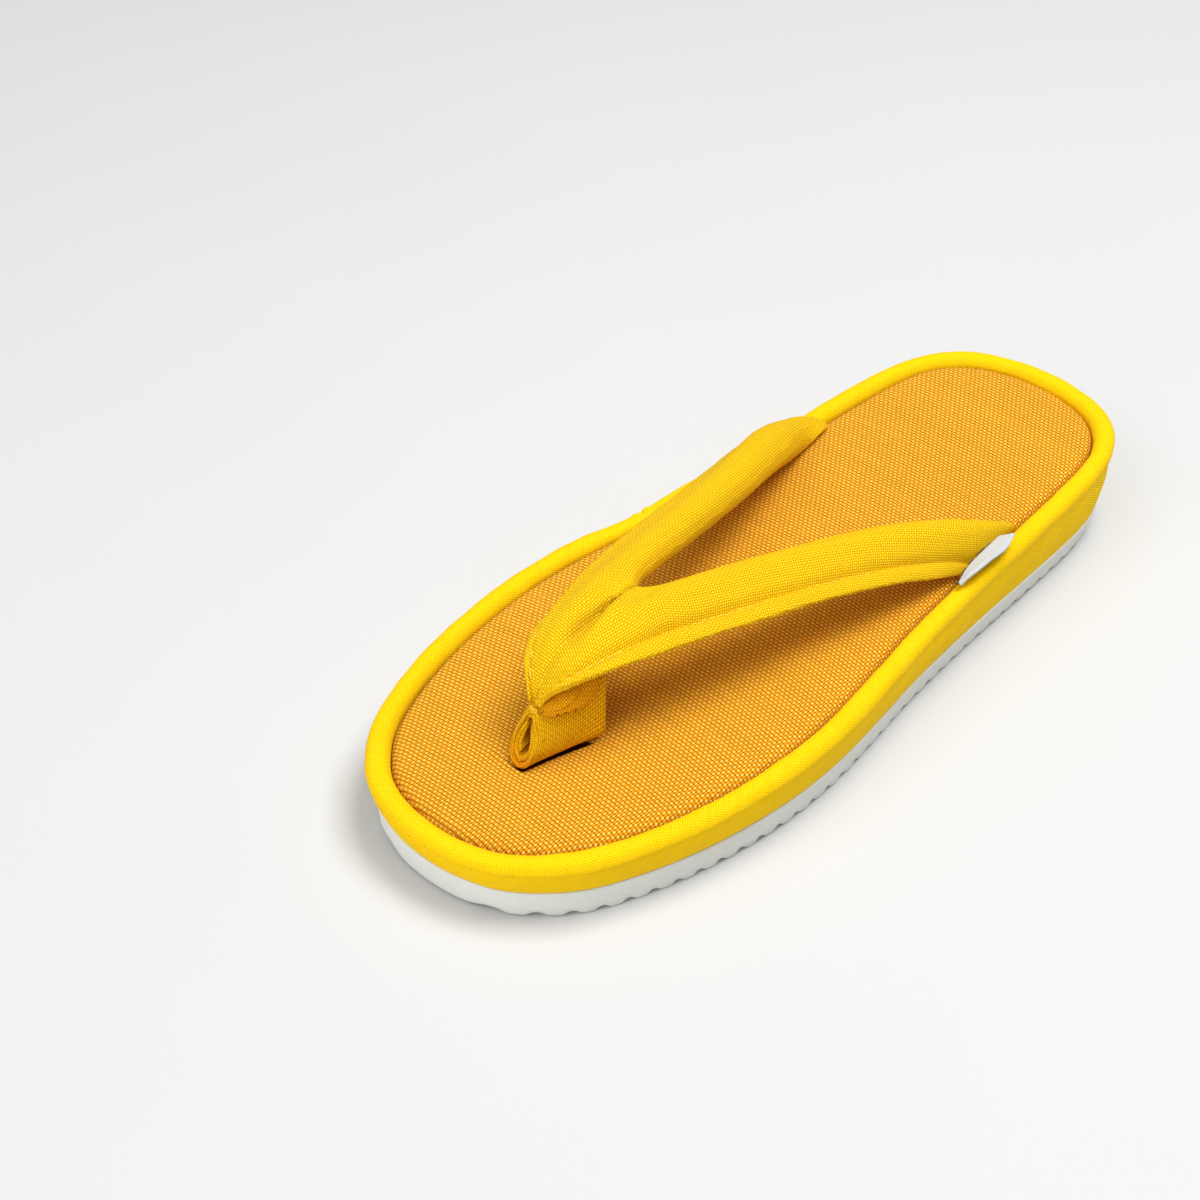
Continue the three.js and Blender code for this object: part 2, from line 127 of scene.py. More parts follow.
def spline(knots, values, t):
    """A smooth curve through rows of values at uneven knots."""
    k, v = np.asarray(knots, float), np.asarray(values, float)
    t = np.asarray(t, float)
    h = np.diff(k).reshape((-1,) + (1,) * (v.ndim - 1))
    d = np.diff(v, axis=0) / h
    m = np.empty_like(v)
    m[1:-1] = (h[1:] * d[:-1] + h[:-1] * d[1:]) / (h[1:] + h[:-1])
    m[0], m[-1] = d[0], d[-1]
    i = np.clip(np.searchsorted(k, t, side="right") - 1, 0, len(k) - 2)
    shape = t.shape + (1,) * (v.ndim - 1)
    f = ((t - k[i]) / (k[i + 1] - k[i])).reshape(shape)
    w = (k[i + 1] - k[i]).reshape(shape)
    return (
        v[i] * (2 * f**3 - 3 * f**2 + 1)
        + m[i] * w * (f**3 - 2 * f**2 + f)
        + v[i + 1] * (3 * f**2 - 2 * f**3)
        + m[i + 1] * w * (f**3 - f**2)
    )


def chords(points):
    """Running length along a line of points."""
    d = np.linalg.norm(np.diff(np.asarray(points, float), axis=0), axis=-1)
    return np.concatenate([[0], np.cumsum(d)])


def ripple(p, wavelength, seed, waves=7):
    """Soft unevenness from -1 to 1, the same at each run."""
    rng = np.random.default_rng(seed)
    p = np.asarray(p, float)
    out = np.zeros(p.shape[:-1])
    for _ in range(waves):
        d = rng.normal(size=p.shape[-1])
        d *= 2 * math.pi / (wavelength * rng.uniform(0.7, 1.5)) / np.linalg.norm(d)
        out += np.sin(p @ d + rng.uniform(0, 2 * math.pi))
    return out / math.sqrt(waves) / 1.4


def seam_height(y):
    s = (np.asarray(y, float) + SOLE_LENGTH / 2) / SOLE_LENGTH
    return SEAM["toe"] + SEAM["slope"] * s + SEAM["curve"] * s * s


def wide(y):
    return (np.asarray(y, float) + SOLE_LENGTH / 2) / SOLE_LENGTH


# ------------------------------------------------------------------ meshes
class Skin:
    """Gathers points and faces, with a place on the cloth for each face corner."""

    def __init__(self):
        self.points, self.faces, self.cloth, self.count = [], [], [], 0

    def add(self, p):
        p = np.asarray(p, float)
        ids = np.arange(self.count, self.count + p[..., 0].size).reshape(p.shape[:-1])
        self.points.append(p.reshape(-1, 3))
        self.count += ids.size
        return ids

    def quads(self, ids, uv=None):
        a, b, c, d = ids[:-1, :-1], ids[:-1, 1:], ids[1:, 1:], ids[1:, :-1]
        faces = np.stack([a, b, c, d], -1).reshape(-1, 4)
        if uv is None:
            uv = np.zeros(ids.shape + (2,))
        u = np.stack([uv[:-1, :-1], uv[:-1, 1:], uv[1:, 1:], uv[1:, :-1]], 2).reshape(-1, 4, 2)
        for f, w in zip(faces.tolist(), u.tolist()):
            keep = [k for k in range(4) if f[k] != f[k - 1]]
            if len(set(f)) >= 3 and len(keep) >= 3:
                self.faces.append([f[k] for k in keep])
                self.cloth.extend(w[k] for k in keep)

    def mesh(self, name, normals=True):
        me = bpy.data.meshes.new(name)
        p = np.concatenate(self.points) * MM
        me.from_pydata(p.tolist(), [], self.faces)
        layer = me.uv_layers.new(name="cloth")
        layer.uv.foreach_set("vector", np.array(self.cloth, np.float32).ravel())
        if normals:
            face_out(me)
        smooth_all(me)
        return me


def face_out(me):
    bm = bmesh.new()
    bm.from_mesh(me)
    bmesh.ops.recalc_face_normals(bm, faces=bm.faces)
    bm.to_mesh(me)
    bm.free()


def smooth_all(me):
    me.polygons.foreach_set("use_smooth", np.ones(len(me.polygons), bool))
    me.update()


def coords(me):
    co = np.empty(len(me.vertices) * 3, np.float32)
    me.vertices.foreach_get("co", co)
    return co.reshape(-1, 3).astype(float) / MM


def normals_of(me):
    n = np.empty(len(me.vertices) * 3, np.float32)
    me.vertices.foreach_get("normal", n)
    return n.reshape(-1, 3).astype(float)


def set_coords(me, p):
    me.vertices.foreach_set("co", (p * MM).astype(np.float32).ravel())
    me.update()


def edges_of(me):
    e = np.empty(len(me.edges) * 2, np.int32)
    me.edges.foreach_get("vertices", e)
    return e.reshape(-1, 2)


def relax(me, weight, times):
    """Evens out the mesh where weight is above 0."""
    p, e = coords(me), edges_of(me)
    count = np.bincount(e.ravel(), minlength=len(p))[:, None].clip(1)
    for _ in range(times):
        total = np.zeros_like(p)
        for k in range(3):
            total[:, k] = np.bincount(e[:, 0], p[e[:, 1], k], len(p)) + np.bincount(
                e[:, 1], p[e[:, 0], k], len(p))
        p += (total / count - p) * weight[:, None]
    set_coords(me, p)


def put(name, me, material, node=None):
    ob = bpy.data.objects.new(name, me)
    bpy.context.scene.collection.objects.link(ob)
    me.materials.append(material)
    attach(ob, "root")
    if node:
        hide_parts(node)
    return ob


def frames_along(path):
    """Unit tangents of a line of points."""
    t = np.gradient(np.asarray(path, float), axis=0)
    return t / np.linalg.norm(t, axis=1, keepdims=True)


def thread(skin, path, radius, sides=7, flat=1.0, up=(0, 0, 1)):
    """A round-ended thread along a short path."""
    path = np.asarray(path, float)
    t = frames_along(path)
    side = np.cross(t, np.asarray(up, float))
    side /= np.linalg.norm(side, axis=1, keepdims=True).clip(1e-9)
    top = np.cross(side, t)
    n = len(path)
    along = np.linspace(-1, 1, n)
    size = radius * np.sqrt(np.clip(1 - np.abs(along) ** 6, 0.0, 1))
    size[0] = size[-1] = radius * 0.25
    a = np.linspace(0, 2 * math.pi, sides, endpoint=False)
    rings = (
        path[:, None]
        + side[:, None] * (np.cos(a) * size[:, None])[..., None]
        + top[:, None] * (np.sin(a) * size[:, None] * flat)[..., None]
    )
    ids = skin.add(rings)
    ends = skin.add(path[[0, -1]])
    length = chords(path)
    uv = np.stack(np.broadcast_arrays(length[:, None], np.arange(sides + 1)[None] / sides), -1)
    closed = np.concatenate([ids, ids[:, :1]], 1)
    skin.quads(closed, uv)
    for row, end in ((closed[0], ends[0]), (closed[-1], ends[1])):
        skin.quads(np.stack([row, np.full_like(row, end)]))


# ------------------------------------------------------------------ sole outline
def outline_curve():
    """Dense points of the outer half of the outline, toe to heel, by running length."""
    pts = [(0.0, -125.0)] + [(h, y) for y, h in PLAN] + [(0.0, 125.0)]
    pts += [(-h, y) for y, h in reversed(PLAN)]
    p = np.array(pts, float)
    n = len(p)
    out = []
    for i in range(n):
        p0, p1, p2, p3 = (p[(i + k) % n] for k in (-1, 0, 1, 2))
        dt0, dt1, dt2 = (np.sum((b - a) ** 2) ** 0.25 for a, b in ((p0, p1), (p1, p2), (p2, p3)))
        t1 = ((p1 - p0) / dt0 - (p2 - p0) / (dt0 + dt1) + (p2 - p1) / dt1) * dt1
        t2 = ((p2 - p1) / dt1 - (p3 - p1) / (dt1 + dt2) + (p3 - p2) / dt2) * dt1
        for f in np.arange(120) / 120:
            out.append(p1 + t1 * f + (-3 * p1 + 3 * p2 - 2 * t1 - t2) * f * f
                       + (2 * p1 - 2 * p2 + t1 + t2) * f**3)
        if i == len(PLAN):
            out.append(p2)
            break
    out = np.array(out)
    return out, chords(out)


CURVE, CURVE_S = outline_curve()
HALF_LENGTH = CURVE_S[-1]


class Outline:
    """The outline at chosen running lengths from the toe, with its mirror on the inner side."""

    def __init__(self, s):
        self.s = np.asarray(s, float)
        self.x = np.interp(self.s, CURVE_S, CURVE[:, 0])
        self.y = np.interp(self.s, CURVE_S, CURVE[:, 1])
        e = 0.6
        t = np.stack([
            np.interp(self.s + e, CURVE_S, CURVE[:, k]) - np.interp(self.s - e, CURVE_S, CURVE[:, k])
            for k in (0, 1)
        ], 1)
        t[0], t[-1] = (1, 0), (-1, 0)
        self.t = t / np.linalg.norm(t, axis=1, keepdims=True)
        self.w = wide(self.y)

    def half(self, inset):
        inset = np.broadcast_to(np.asarray(inset, float), self.x.shape)
        x = self.x - self.t[:, 1] * inset
        y = self.y + self.t[:, 0] * inset
        x[0] = x[-1] = 0
        return np.stack([x, y], 1)

    def ring(self, inset):
        h = self.half(inset)
        return np.concatenate([h, h[-2:0:-1] * (-1, 1)])

    def full(self, values):
        values = np.asarray(values)
        return np.concatenate([values, values[-2:0:-1]])

    @property
    def around(self):
        """Running length right round, one more value than the ring has points."""
        return np.concatenate([self.s, (2 * HALF_LENGTH - self.s[:-1])[::-1]])


def half_width(y, inset):
    o = Outline(np.linspace(0, HALF_LENGTH, 1600))
    h = o.half(inset)
    return np.interp(y, h[:, 1], h[:, 0])


def s_at_y(y):
    return np.interp(y, CURVE[:, 1], CURVE_S)


# ------------------------------------------------------------------ materials
class Nodes:
    """Short names for the node types used here."""

    def __init__(self, name):
        self.mat = bpy.data.materials.new(name)
        self.mat.use_nodes = True
        self.tree = self.mat.node_tree
        self.tree.nodes.clear()
        self.out = self.tree.nodes.new("ShaderNodeOutputMaterial")
        self.shader = self.tree.nodes.new("ShaderNodeBsdfPrincipled")
        self.tree.links.new(self.shader.outputs[0], self.out.inputs[0])

    def wire(self, socket, value):
        if isinstance(value, (int, float)):
            socket.default_value = value
        elif isinstance(value, (tuple, list)):
            socket.default_value = tuple(value)[: len(socket.default_value)]
        elif value is not None:
            self.tree.links.new(value, socket)

    def math(self, op, a, b=None, c=None, clamp=False):
        n = self.tree.nodes.new("ShaderNodeMath")
        n.operation, n.use_clamp = op, clamp
        for socket, value in zip(n.inputs, (a, b, c)):
            self.wire(socket, value)
        return n.outputs[0]

    def xyz(self, v):
        n = self.tree.nodes.new("ShaderNodeSeparateXYZ")
        self.wire(n.inputs[0], v)
        return n.outputs

    def join(self, x, y, z=0.0):
        n = self.tree.nodes.new("ShaderNodeCombineXYZ")
        for socket, value in zip(n.inputs, (x, y, z)):
            self.wire(socket, value)
        return n.outputs[0]

    def cloth(self):
        n = self.tree.nodes.new("ShaderNodeUVMap")
        n.uv_map = "cloth"
        return n.outputs[0]

    def place(self):
        n = self.tree.nodes.new("ShaderNodeTexCoord")
        return n.outputs["Object"]

    def noise(self, vector, scale, detail=2.0, rough=0.5):
        n = self.tree.nodes.new("ShaderNodeTexNoise")
        self.wire(n.inputs["Vector"], vector)
        n.inputs["Scale"].default_value = scale
        n.inputs["Detail"].default_value = detail
        n.inputs["Roughness"].default_value = rough
        return n.outputs["Fac"]

    def random(self, value, w=0.0):
        n = self.tree.nodes.new("ShaderNodeTexWhiteNoise")
        n.noise_dimensions = "2D"
        self.wire(n.inputs["Vector"], self.join(value, w))
        return n.outputs["Value"]

    def cells(self, vector, scale):
        n = self.tree.nodes.new("ShaderNodeTexVoronoi")
        self.wire(n.inputs["Vector"], vector)
        n.inputs["Scale"].default_value = scale
        return n.outputs["Distance"]

    def remap(self, value, a, b, c, d, kind="SMOOTHSTEP"):
        n = self.tree.nodes.new("ShaderNodeMapRange")
        n.interpolation_type = kind
        for socket, v in zip(n.inputs, (value, a, b, c, d)):
            self.wire(socket, v)
        return n.outputs[0]

    def mix(self, factor, a, b, kind="MIX"):
        n = self.tree.nodes.new("ShaderNodeMix")
        n.data_type, n.blend_type = "RGBA", kind
        self.wire(n.inputs[0], factor)
        self.wire(n.inputs[6], a)
        self.wire(n.inputs[7], b)
        return n.outputs[2]

    def bump(self, height, distance, strength=1.0, normal=None):
        n = self.tree.nodes.new("ShaderNodeBump")
        n.inputs["Strength"].default_value = strength
        n.inputs["Distance"].default_value = distance
        self.wire(n.inputs["Height"], height)
        if normal is not None:
            self.wire(n.inputs["Normal"], normal)
        return n.outputs[0]

    def finish(self, colour, normal=None, roughness=0.85, specular=0.25, sheen=0.0,
               sheen_roughness=0.5, sheen_tint=(1, 1, 1, 1)):
        s = self.shader.inputs
        self.wire(s["Base Color"], colour)
        self.wire(s["Roughness"], roughness)
        s["Specular IOR Level"].default_value = specular
        s["Sheen Weight"].default_value = sheen
        s["Sheen Roughness"].default_value = sheen_roughness
        s["Sheen Tint"].default_value = sheen_tint
        if normal is not None:
            self.wire(s["Normal"], normal)
        return self.mat


def lin(r, g, b):
    """sRGB 0-255 to linear."""
    c = np.array([r, g, b]) / 255
    c = np.where(c <= 0.04045, c / 12.92, ((c + 0.055) / 1.055) ** 2.4)
    return (float(c[0]), float(c[1]), float(c[2]), 1.0)


def plain_weave(n, u, v, slim_u=0.55, slim_v=0.55):
    """Heights of the two thread systems of a plain weave; u and v count threads. The
    larger slim is, the narrower the thread."""
    iu, iv = n.math("FLOOR", u), n.math("FLOOR", v)
    fu = n.math("SUBTRACT", n.math("SUBTRACT", u, iu), 0.5)
    fv = n.math("SUBTRACT", n.math("SUBTRACT", v, iv), 0.5)
    round_u = n.math("POWER", n.math("COSINE", n.math("MULTIPLY", fu, math.pi)), slim_u)
    round_v = n.math("POWER", n.math("COSINE", n.math("MULTIPLY", fv, math.pi)), slim_v)
    over_u = n.math("COSINE", n.math("MULTIPLY", n.math("ADD", n.math("SUBTRACT", v, 0.5), iu), math.pi))
    over_v = n.math("COSINE", n.math("MULTIPLY", n.math("ADD", n.math("ADD", u, 0.5), iv), math.pi))
    over_u = n.math("MULTIPLY_ADD", over_u, 0.5, 0.5)
    over_v = n.math("MULTIPLY_ADD", over_v, 0.5, 0.5)
    hu = n.math("MULTIPLY", round_u, over_u)
    hv = n.math("MULTIPLY", round_v, over_v)
    return hu, hv, iu, iv


def canvas(name, gap, low, high, depth, lead="u", second=0.6, slim=0.8, scatter=0.10,
           roughness=0.9, sheen=0.04, wobble=0.22, patch=0.05, soft=(0.30, 0.86), split=0.2, shade=False,
           painted_bottom_shade=None):
    """Woven canvas. The leading threads show as bright floats in every other place, the
    others lie lower between them. depth is the thread relief in millimetres. The last argument gives the
    heights in metres between which the painted shade and painted orange reflection near the bottom fade out."""
    n = Nodes(name)
    cloth = n.cloth()
    x, y, _ = n.xyz(cloth)
    wave = n.noise(cloth, 0.16, 2.0)
    wave2 = n.noise(n.join(y, x, 3.1), 0.19, 2.0)
    u = n.math("MULTIPLY_ADD", wave, wobble * 2, n.math("SUBTRACT", x, wobble))
    v = n.math("MULTIPLY_ADD", wave2, wobble * 2, n.math("SUBTRACT", y, wobble))
    slims = (slim, 0.5) if lead == "u" else (0.5, slim)
    hu, hv, iu, iv = plain_weave(n, u, v, *slims)
    first, other = (hu, hv) if lead == "u" else (hv, hu)
    ru, rv = n.random(iu, 0.3), n.random(iv, 0.7)
    own = ru if lead == "u" else rv
    spot = n.random(n.math("MULTIPLY_ADD", iu, 3.37, iv), 0.9)
    tone = n.math("MULTIPLY_ADD", n.math("SUBTRACT", own, 0.5), scatter * 1.4, 1.0)
    tone = n.math("MULTIPLY_ADD", n.math("SUBTRACT", spot, 0.5), scatter * 1.6, tone)
    cloud = n.noise(n.place(), 38.0, 3.0, 0.6)
    tone = n.math("MULTIPLY_ADD", n.math("SUBTRACT", cloud, 0.5), patch * 2, tone)
    fibre = n.noise(cloth, 5.5, 2.0, 0.7)
    tone = n.math("MULTIPLY_ADD", n.math("SUBTRACT", fibre, 0.5), 0.12, tone)
    c1 = n.mix(n.remap(other, 0.25, 0.85, 0, 1), gap, low)
    c2 = n.mix(n.remap(first, soft[0], soft[1], 0, 1), c1, high)
    # each thread of the lower system leaves a dark line where it dips
    across = n.math("FRACT", u if lead == "v" else v)
    across = n.math("ABSOLUTE", n.math("SUBTRACT", across, 0.5))
    dark = n.remap(across, 0.24, 0.5, 1.0, 1.0 - split)
    colour = n.mix(1.0, c2, n.join(n.math("MULTIPLY", tone, n.math("POWER", dark, 0.6)),
                                   n.math("MULTIPLY", tone, dark),
                                   n.math("MULTIPLY", tone, n.math("POWER", dark, 1.4))), "MULTIPLY")
    if shade:
        # painted shade in the slit and in the folds
        m = n.tree.nodes.new("ShaderNodeUVMap")
        m.uv_map = "shade"
        light = n.xyz(m.outputs[0])[0]
        colour = n.mix(light, n.mix(1.0, colour, lin(92, 52, 22), "MULTIPLY"), colour)
    # painted shade and painted orange reflection from the footbed: darker and more orange towards the bottom, fading
    # out between the given heights
    if painted_bottom_shade:
        z = n.math("MULTIPLY_ADD", n.noise(n.place(), 220.0, 2.0), 0.006, n.xyz(n.place())[2])
        unshaded = n.remap(z, painted_bottom_shade[0], painted_bottom_shade[1], 0.0, 1.0)
        colour = n.mix(unshaded, n.mix(1.0, colour, lin(244, 204, 150), "MULTIPLY"), colour)
    height = n.math("MAXIMUM", first, n.math("MULTIPLY", other, second))
    height = n.math("MULTIPLY", height, n.math("MULTIPLY_ADD", dark, 0.5, 0.5))
    relief = n.math("MULTIPLY_ADD", fibre, 0.10, height)
    normal = n.bump(relief, depth * MM)
    return n.finish(colour, normal, roughness, 0.12, sheen, 0.45, high)


YELLOW_GAP, YELLOW_LOW, YELLOW_HIGH = lin(206, 144, 0), lin(243, 197, 0), lin(255, 225, 40)
RIM_GAP, RIM_LOW, RIM_HIGH = lin(242, 182, 0), lin(255, 212, 0), lin(255, 226, 20)
OCHRE_GAP, OCHRE_LOW, OCHRE_HIGH = lin(178, 90, 0), lin(230, 160, 16), lin(250, 209, 84)

rim_canvas = canvas("rim_canvas", RIM_GAP, RIM_LOW, RIM_HIGH, 0.09, scatter=0.035, wobble=0.15,
                    second=0.8, split=0.12)
strap_canvas = canvas("strap_canvas", YELLOW_GAP, YELLOW_LOW, YELLOW_HIGH, 0.12, scatter=0.04, wobble=0.15,
                      second=0.8, shade=True)
# the post and fold canvases are darker, more orange copies of the strap canvas: painted shade and painted orange
# reflection from the footbed
post_canvas = canvas("post_canvas", lin(196, 126, 0), lin(232, 176, 0), lin(246, 206, 24), 0.12,
                     scatter=0.05, wobble=0.15, second=0.8, painted_bottom_shade=(0.0205, 0.0275))
fold_canvas = canvas("fold_canvas", lin(186, 104, 0), lin(226, 154, 0), lin(244, 186, 16), 0.12,
                     scatter=0.05, wobble=0.15, second=0.8)
footbed_canvas = canvas("footbed_canvas", OCHRE_GAP, OCHRE_LOW, OCHRE_HIGH, 0.24, lead="v", slim=0.85,
                        second=0.6, scatter=0.05, wobble=0.2, soft=(0.22, 0.74), split=0.34,
                        shade=True)


def foam_material():
    n = Nodes("sole_foam")
    p = n.place()
    fine = n.noise(p, 2600.0, 3.0, 0.65)
    broad = n.noise(p, 60.0, 3.0, 0.5)
    cell = n.cells(p, 2100.0)
    tone = n.math("MULTIPLY_ADD", n.math("SUBTRACT", fine, 0.5), 0.12, 1.0)
    tone = n.math("MULTIPLY_ADD", n.math("SUBTRACT", broad, 0.5), 0.05, tone)
    tone = n.math("MULTIPLY", tone, n.remap(cell, 0.05, 0.35, 0.93, 1.0))
    colour = n.mix(1.0, lin(222, 224, 218), n.join(tone, tone, tone), "MULTIPLY")
    height = n.math("MULTIPLY_ADD", cell, 0.7, fine)
    return n.finish(colour, n.bump(height, 0.00006), 0.72, 0.3)


def thread_material(name, colour, dark, sheen=0.1):
    n = Nodes(name)
    x, y, _ = n.xyz(n.cloth())
    twist = n.math("SINE", n.math("MULTIPLY", n.math("MULTIPLY_ADD", x, 2.2, n.math("MULTIPLY", y, 2.0)), 2 * math.pi))
    twist = n.math("MULTIPLY_ADD", twist, 0.5, 0.5)
    c = n.mix(twist, dark, colour)
    return n.finish(c, n.bump(twist, 0.00005), 0.7, 0.15, sheen)


def tape_material():
    n = Nodes("tape")
    cloth = n.cloth()
    x, y, _ = n.xyz(cloth)
    hu, hv, iu, iv = plain_weave(n, x, y)
    height = n.math("MAXIMUM", hu, hv)
    tone = n.math("MULTIPLY_ADD", n.math("SUBTRACT", n.random(iu, 0.4), 0.5), 0.06, 1.0)
    tone = n.math("MULTIPLY_ADD", n.math("SUBTRACT", n.noise(cloth, 0.5, 2.0), 0.5), 0.05, tone)
    c = n.mix(n.remap(height, 0.1, 0.7, 0, 1), lin(138, 142, 146), lin(208, 211, 214))
    c = n.mix(1.0, c, n.join(tone, tone, tone), "MULTIPLY")
    return n.finish(c, n.bump(height, 0.00005), 0.7, 0.3, 0.1)


sole_foam = foam_material()
tape = tape_material()
yellow_thread = thread_material("yellow_thread", lin(255, 232, 96), lin(246, 204, 30))
tack_thread = thread_material("tack_thread", lin(253, 216, 40), lin(230, 172, 0))
# brown thread for thread ends and needle holes, also used for a painted shadow line on the post
brown_thread_and_shadow_line = thread_material("brown_thread_and_shadow_line", lin(112, 60, 10), lin(70, 34, 4), 0.0)
# grey sewing thread, also used for a painted shadow line along the tab's joint
grey_thread_and_shadow_line = thread_material("grey_thread_and_shadow_line", lin(96, 88, 80), lin(50, 44, 40), 0.0)


# ------------------------------------------------------------------ camera, light, floor
# They come before the pieces, because nothing in them depends on a piece.
scene = bpy.context.scene
scene.view_settings.view_transform = "Standard"
scene.view_settings.look = "None"
scene.view_settings.exposure = 0.0
scene.view_settings.gamma = 1.0

cam_data = bpy.data.cameras.new("camera")
cam_data.lens, cam_data.sensor_width = 76.73, 36.0
cam_data.clip_start, cam_data.clip_end = 0.05, 20
cam = bpy.data.objects.new("camera", cam_data)
cam.location = Vector((334.5, -415.0, 424.5)) * MM
cam.rotation_euler = (math.radians(52.509), 0, math.radians(43.513))
scene.collection.objects.link(cam)
scene.camera = cam

world = bpy.data.worlds.new("studio")
world.use_nodes = True
background = world.node_tree.nodes["Background"]
background.inputs[0].default_value = (0.985, 0.995, 1.0, 1)
background.inputs[1].default_value = 0.26
scene.world = world


def softbox(name, place, aim, size, watts, colour=(1, 1, 1)):
    data = bpy.data.lights.new(name, "AREA")
    data.shape, data.size, data.size_y = "RECTANGLE", size[0], size[1]
    data.energy, data.color = watts, colour
    ob = bpy.data.objects.new(name, data)
    ob.location = place
    ob.rotation_euler = (Vector(aim) - Vector(place)).to_track_quat("-Z", "Y").to_euler()
    scene.collection.objects.link(ob)
    return ob


softbox("key", (0.27, 0.27, 1.20), (0, 0, 0.02), (0.65, 0.65), 12.5, (1.0, 0.995, 0.985))
softbox("ceiling", (0.1, -0.1, 1.7), (0, 0, 0), (2.4, 2.4), 14.0)
softbox("front", (-0.1, -1.3, 1.25), (0, 0, 0.02), (1.2, 0.8), 6.0)
softbox("low", (0.10, -1.50, 0.28), (0, -0.1, 0.02), (1.5, 0.4), 7.5)

floor_me = bpy.data.meshes.new("floor")
floor_me.from_pydata([(-9, -9, -0.00002), (9, -9, -0.00002), (9, 9, -0.00002), (-9, 9, -0.00002)], [], [(0, 1, 2, 3)])
n = Nodes("floor")
grain = n.noise(n.place(), 9.0, 3.0, 0.5)
floor_mat = n.finish(n.mix(grain, lin(209, 210, 210), lin(212, 212, 213)), None, 0.8, 0.1)
floor_me.materials.append(floor_mat)
floor_ob = bpy.data.objects.new("floor", floor_me)
scene.collection.objects.link(floor_ob)


# ------------------------------------------------------------------ outsole
def rib(y):
    """Height of the ribbed tread: 0 on a crest, RIB_DEPTH in a groove."""
    d = np.abs((np.asarray(y, float) + SOLE_LENGTH / 2) % RIB_PITCH - RIB_PITCH / 2)
    return 0.8 * RIB_DEPTH * smooth(0.5 * RIB_CREST / 2, RIB_PITCH / 2 - 0.25, d)


def spring(y):
    toe = np.maximum(0, (-98 - y) / 24)
    heel = np.maximum(0, (y - 108) / 12)
    return TOE_SPRING * toe**2 + HEEL_LIFT * heel**2


def outsole():
    middle = s_at_y(np.arange(-112, 112.01, 0.42))
    tips = np.linspace(0, middle[0], 66)[:-1], np.linspace(middle[-1], HALF_LENGTH, 66)[1:]
    o = Outline(np.concatenate([tips[0], middle, tips[1]]))
    low_inset = 2.9 + 2.1 * o.w
    top_inset = 2.0 + 0.7 * o.w
    skin = Skin()
    # share of the way from the low edge to the top edge, inset added, lift added
    rows = [(0.0, 0.95, 0.0), (0.0, 0.35, 0.05), (0.0, 0.06, 0.28), (0.05, 0.0, 0.25), (0.14, -0.05, 0.1),
            (0.27, -0.08, 0.0), (0.41, -0.08, 0.0), (0.55, -0.05, 0.0), (0.68, -0.03, 0.0), (0.8, 0.0, 0.0),
            (0.9, 0.02, 0.0), (0.965, 0.1, 0.0), (1.0, 0.35, 0.0)]
    grid = []
    for share, more, lift in rows:
        y = o.full(o.half(low_inset)[:, 1])
        notch = rib(o.half(low_inset)[:, 1]) * 0.45 * (1 - smooth(0.0, 0.3, share))
        xy = o.ring(low_inset + (top_inset - low_inset) * share**0.9 + more + notch)
        foot = rib(y) * (1 - share) ** 1.5 + spring(y)
        z = foot + (OUTSOLE_TOP - foot) * share + lift * (1 - share)
        uneven = 0.10 * ripple(np.stack([o.full(o.s), np.full(len(z), share * 9)], 1), 17, 3)
        side = np.stack([xy[:, 0], xy[:, 1]], 1)
        n_in = side - o.ring(low_inset + 3)
        n_in /= np.linalg.norm(n_in, axis=1, keepdims=True).clip(1e-9)
        xy = xy + n_in * (uneven * (0.2 < share < 0.95))[:, None]
        grid.append(np.stack([xy[:, 0], xy[:, 1], z], 1))
    ids = skin.add(np.array(grid))
    skin.quads(np.concatenate([ids, ids[:, :1]], 1))
    # tread and top: rows straight across, from each outer point to its mirror
    count = len(o.s)
    for base, cols in ((0, 22), (len(rows) - 1, 4)):
        ring_ids, ring_p = ids[base], np.array(grid)[base]
        right, left = np.arange(count), (2 * (count - 1) - np.arange(count)) % (2 * (count - 1))
        t = np.linspace(0, 1, cols + 1)[1:-1]
        inner = ring_p[right][:, None] * (1 - t[None, :, None]) + ring_p[left][:, None] * t[None, :, None]
        inner_ids = skin.add(inner)
        for end in (0, count - 1):
            inner_ids[end] = ring_ids[end]
        skin.quads(np.concatenate([ring_ids[right][:, None], inner_ids, ring_ids[left][:, None]], 1))
    me = skin.mesh("outsole")
    drop_loose(me)
    return put("sole_sheet", me, sole_foam, "outsole")


def drop_loose(me):
    bm = bmesh.new()
    bm.from_mesh(me)
    loose = [v for v in bm.verts if not v.link_faces]
    bmesh.ops.delete(bm, geom=loose, context="VERTS")
    bm.to_mesh(me)
    bm.free()
    smooth_all(me)


# ------------------------------------------------------------------ midsole cover and rim
FOOT = OUTSOLE_TOP + 0.1


def rim_uv(o, v):
    """Bias cut canvas: cloth coordinates from the running length round and up the profile."""
    around = o.around
    total = 2 * HALF_LENGTH
    k1, k2 = (2 * round(total * k / 2) / total for k in (1.33, 0.77))
    u = around[None, :]
    return np.stack([k1 * u - 0.93 * v[:, None], k2 * u + 1.47 * v[:, None]], -1)


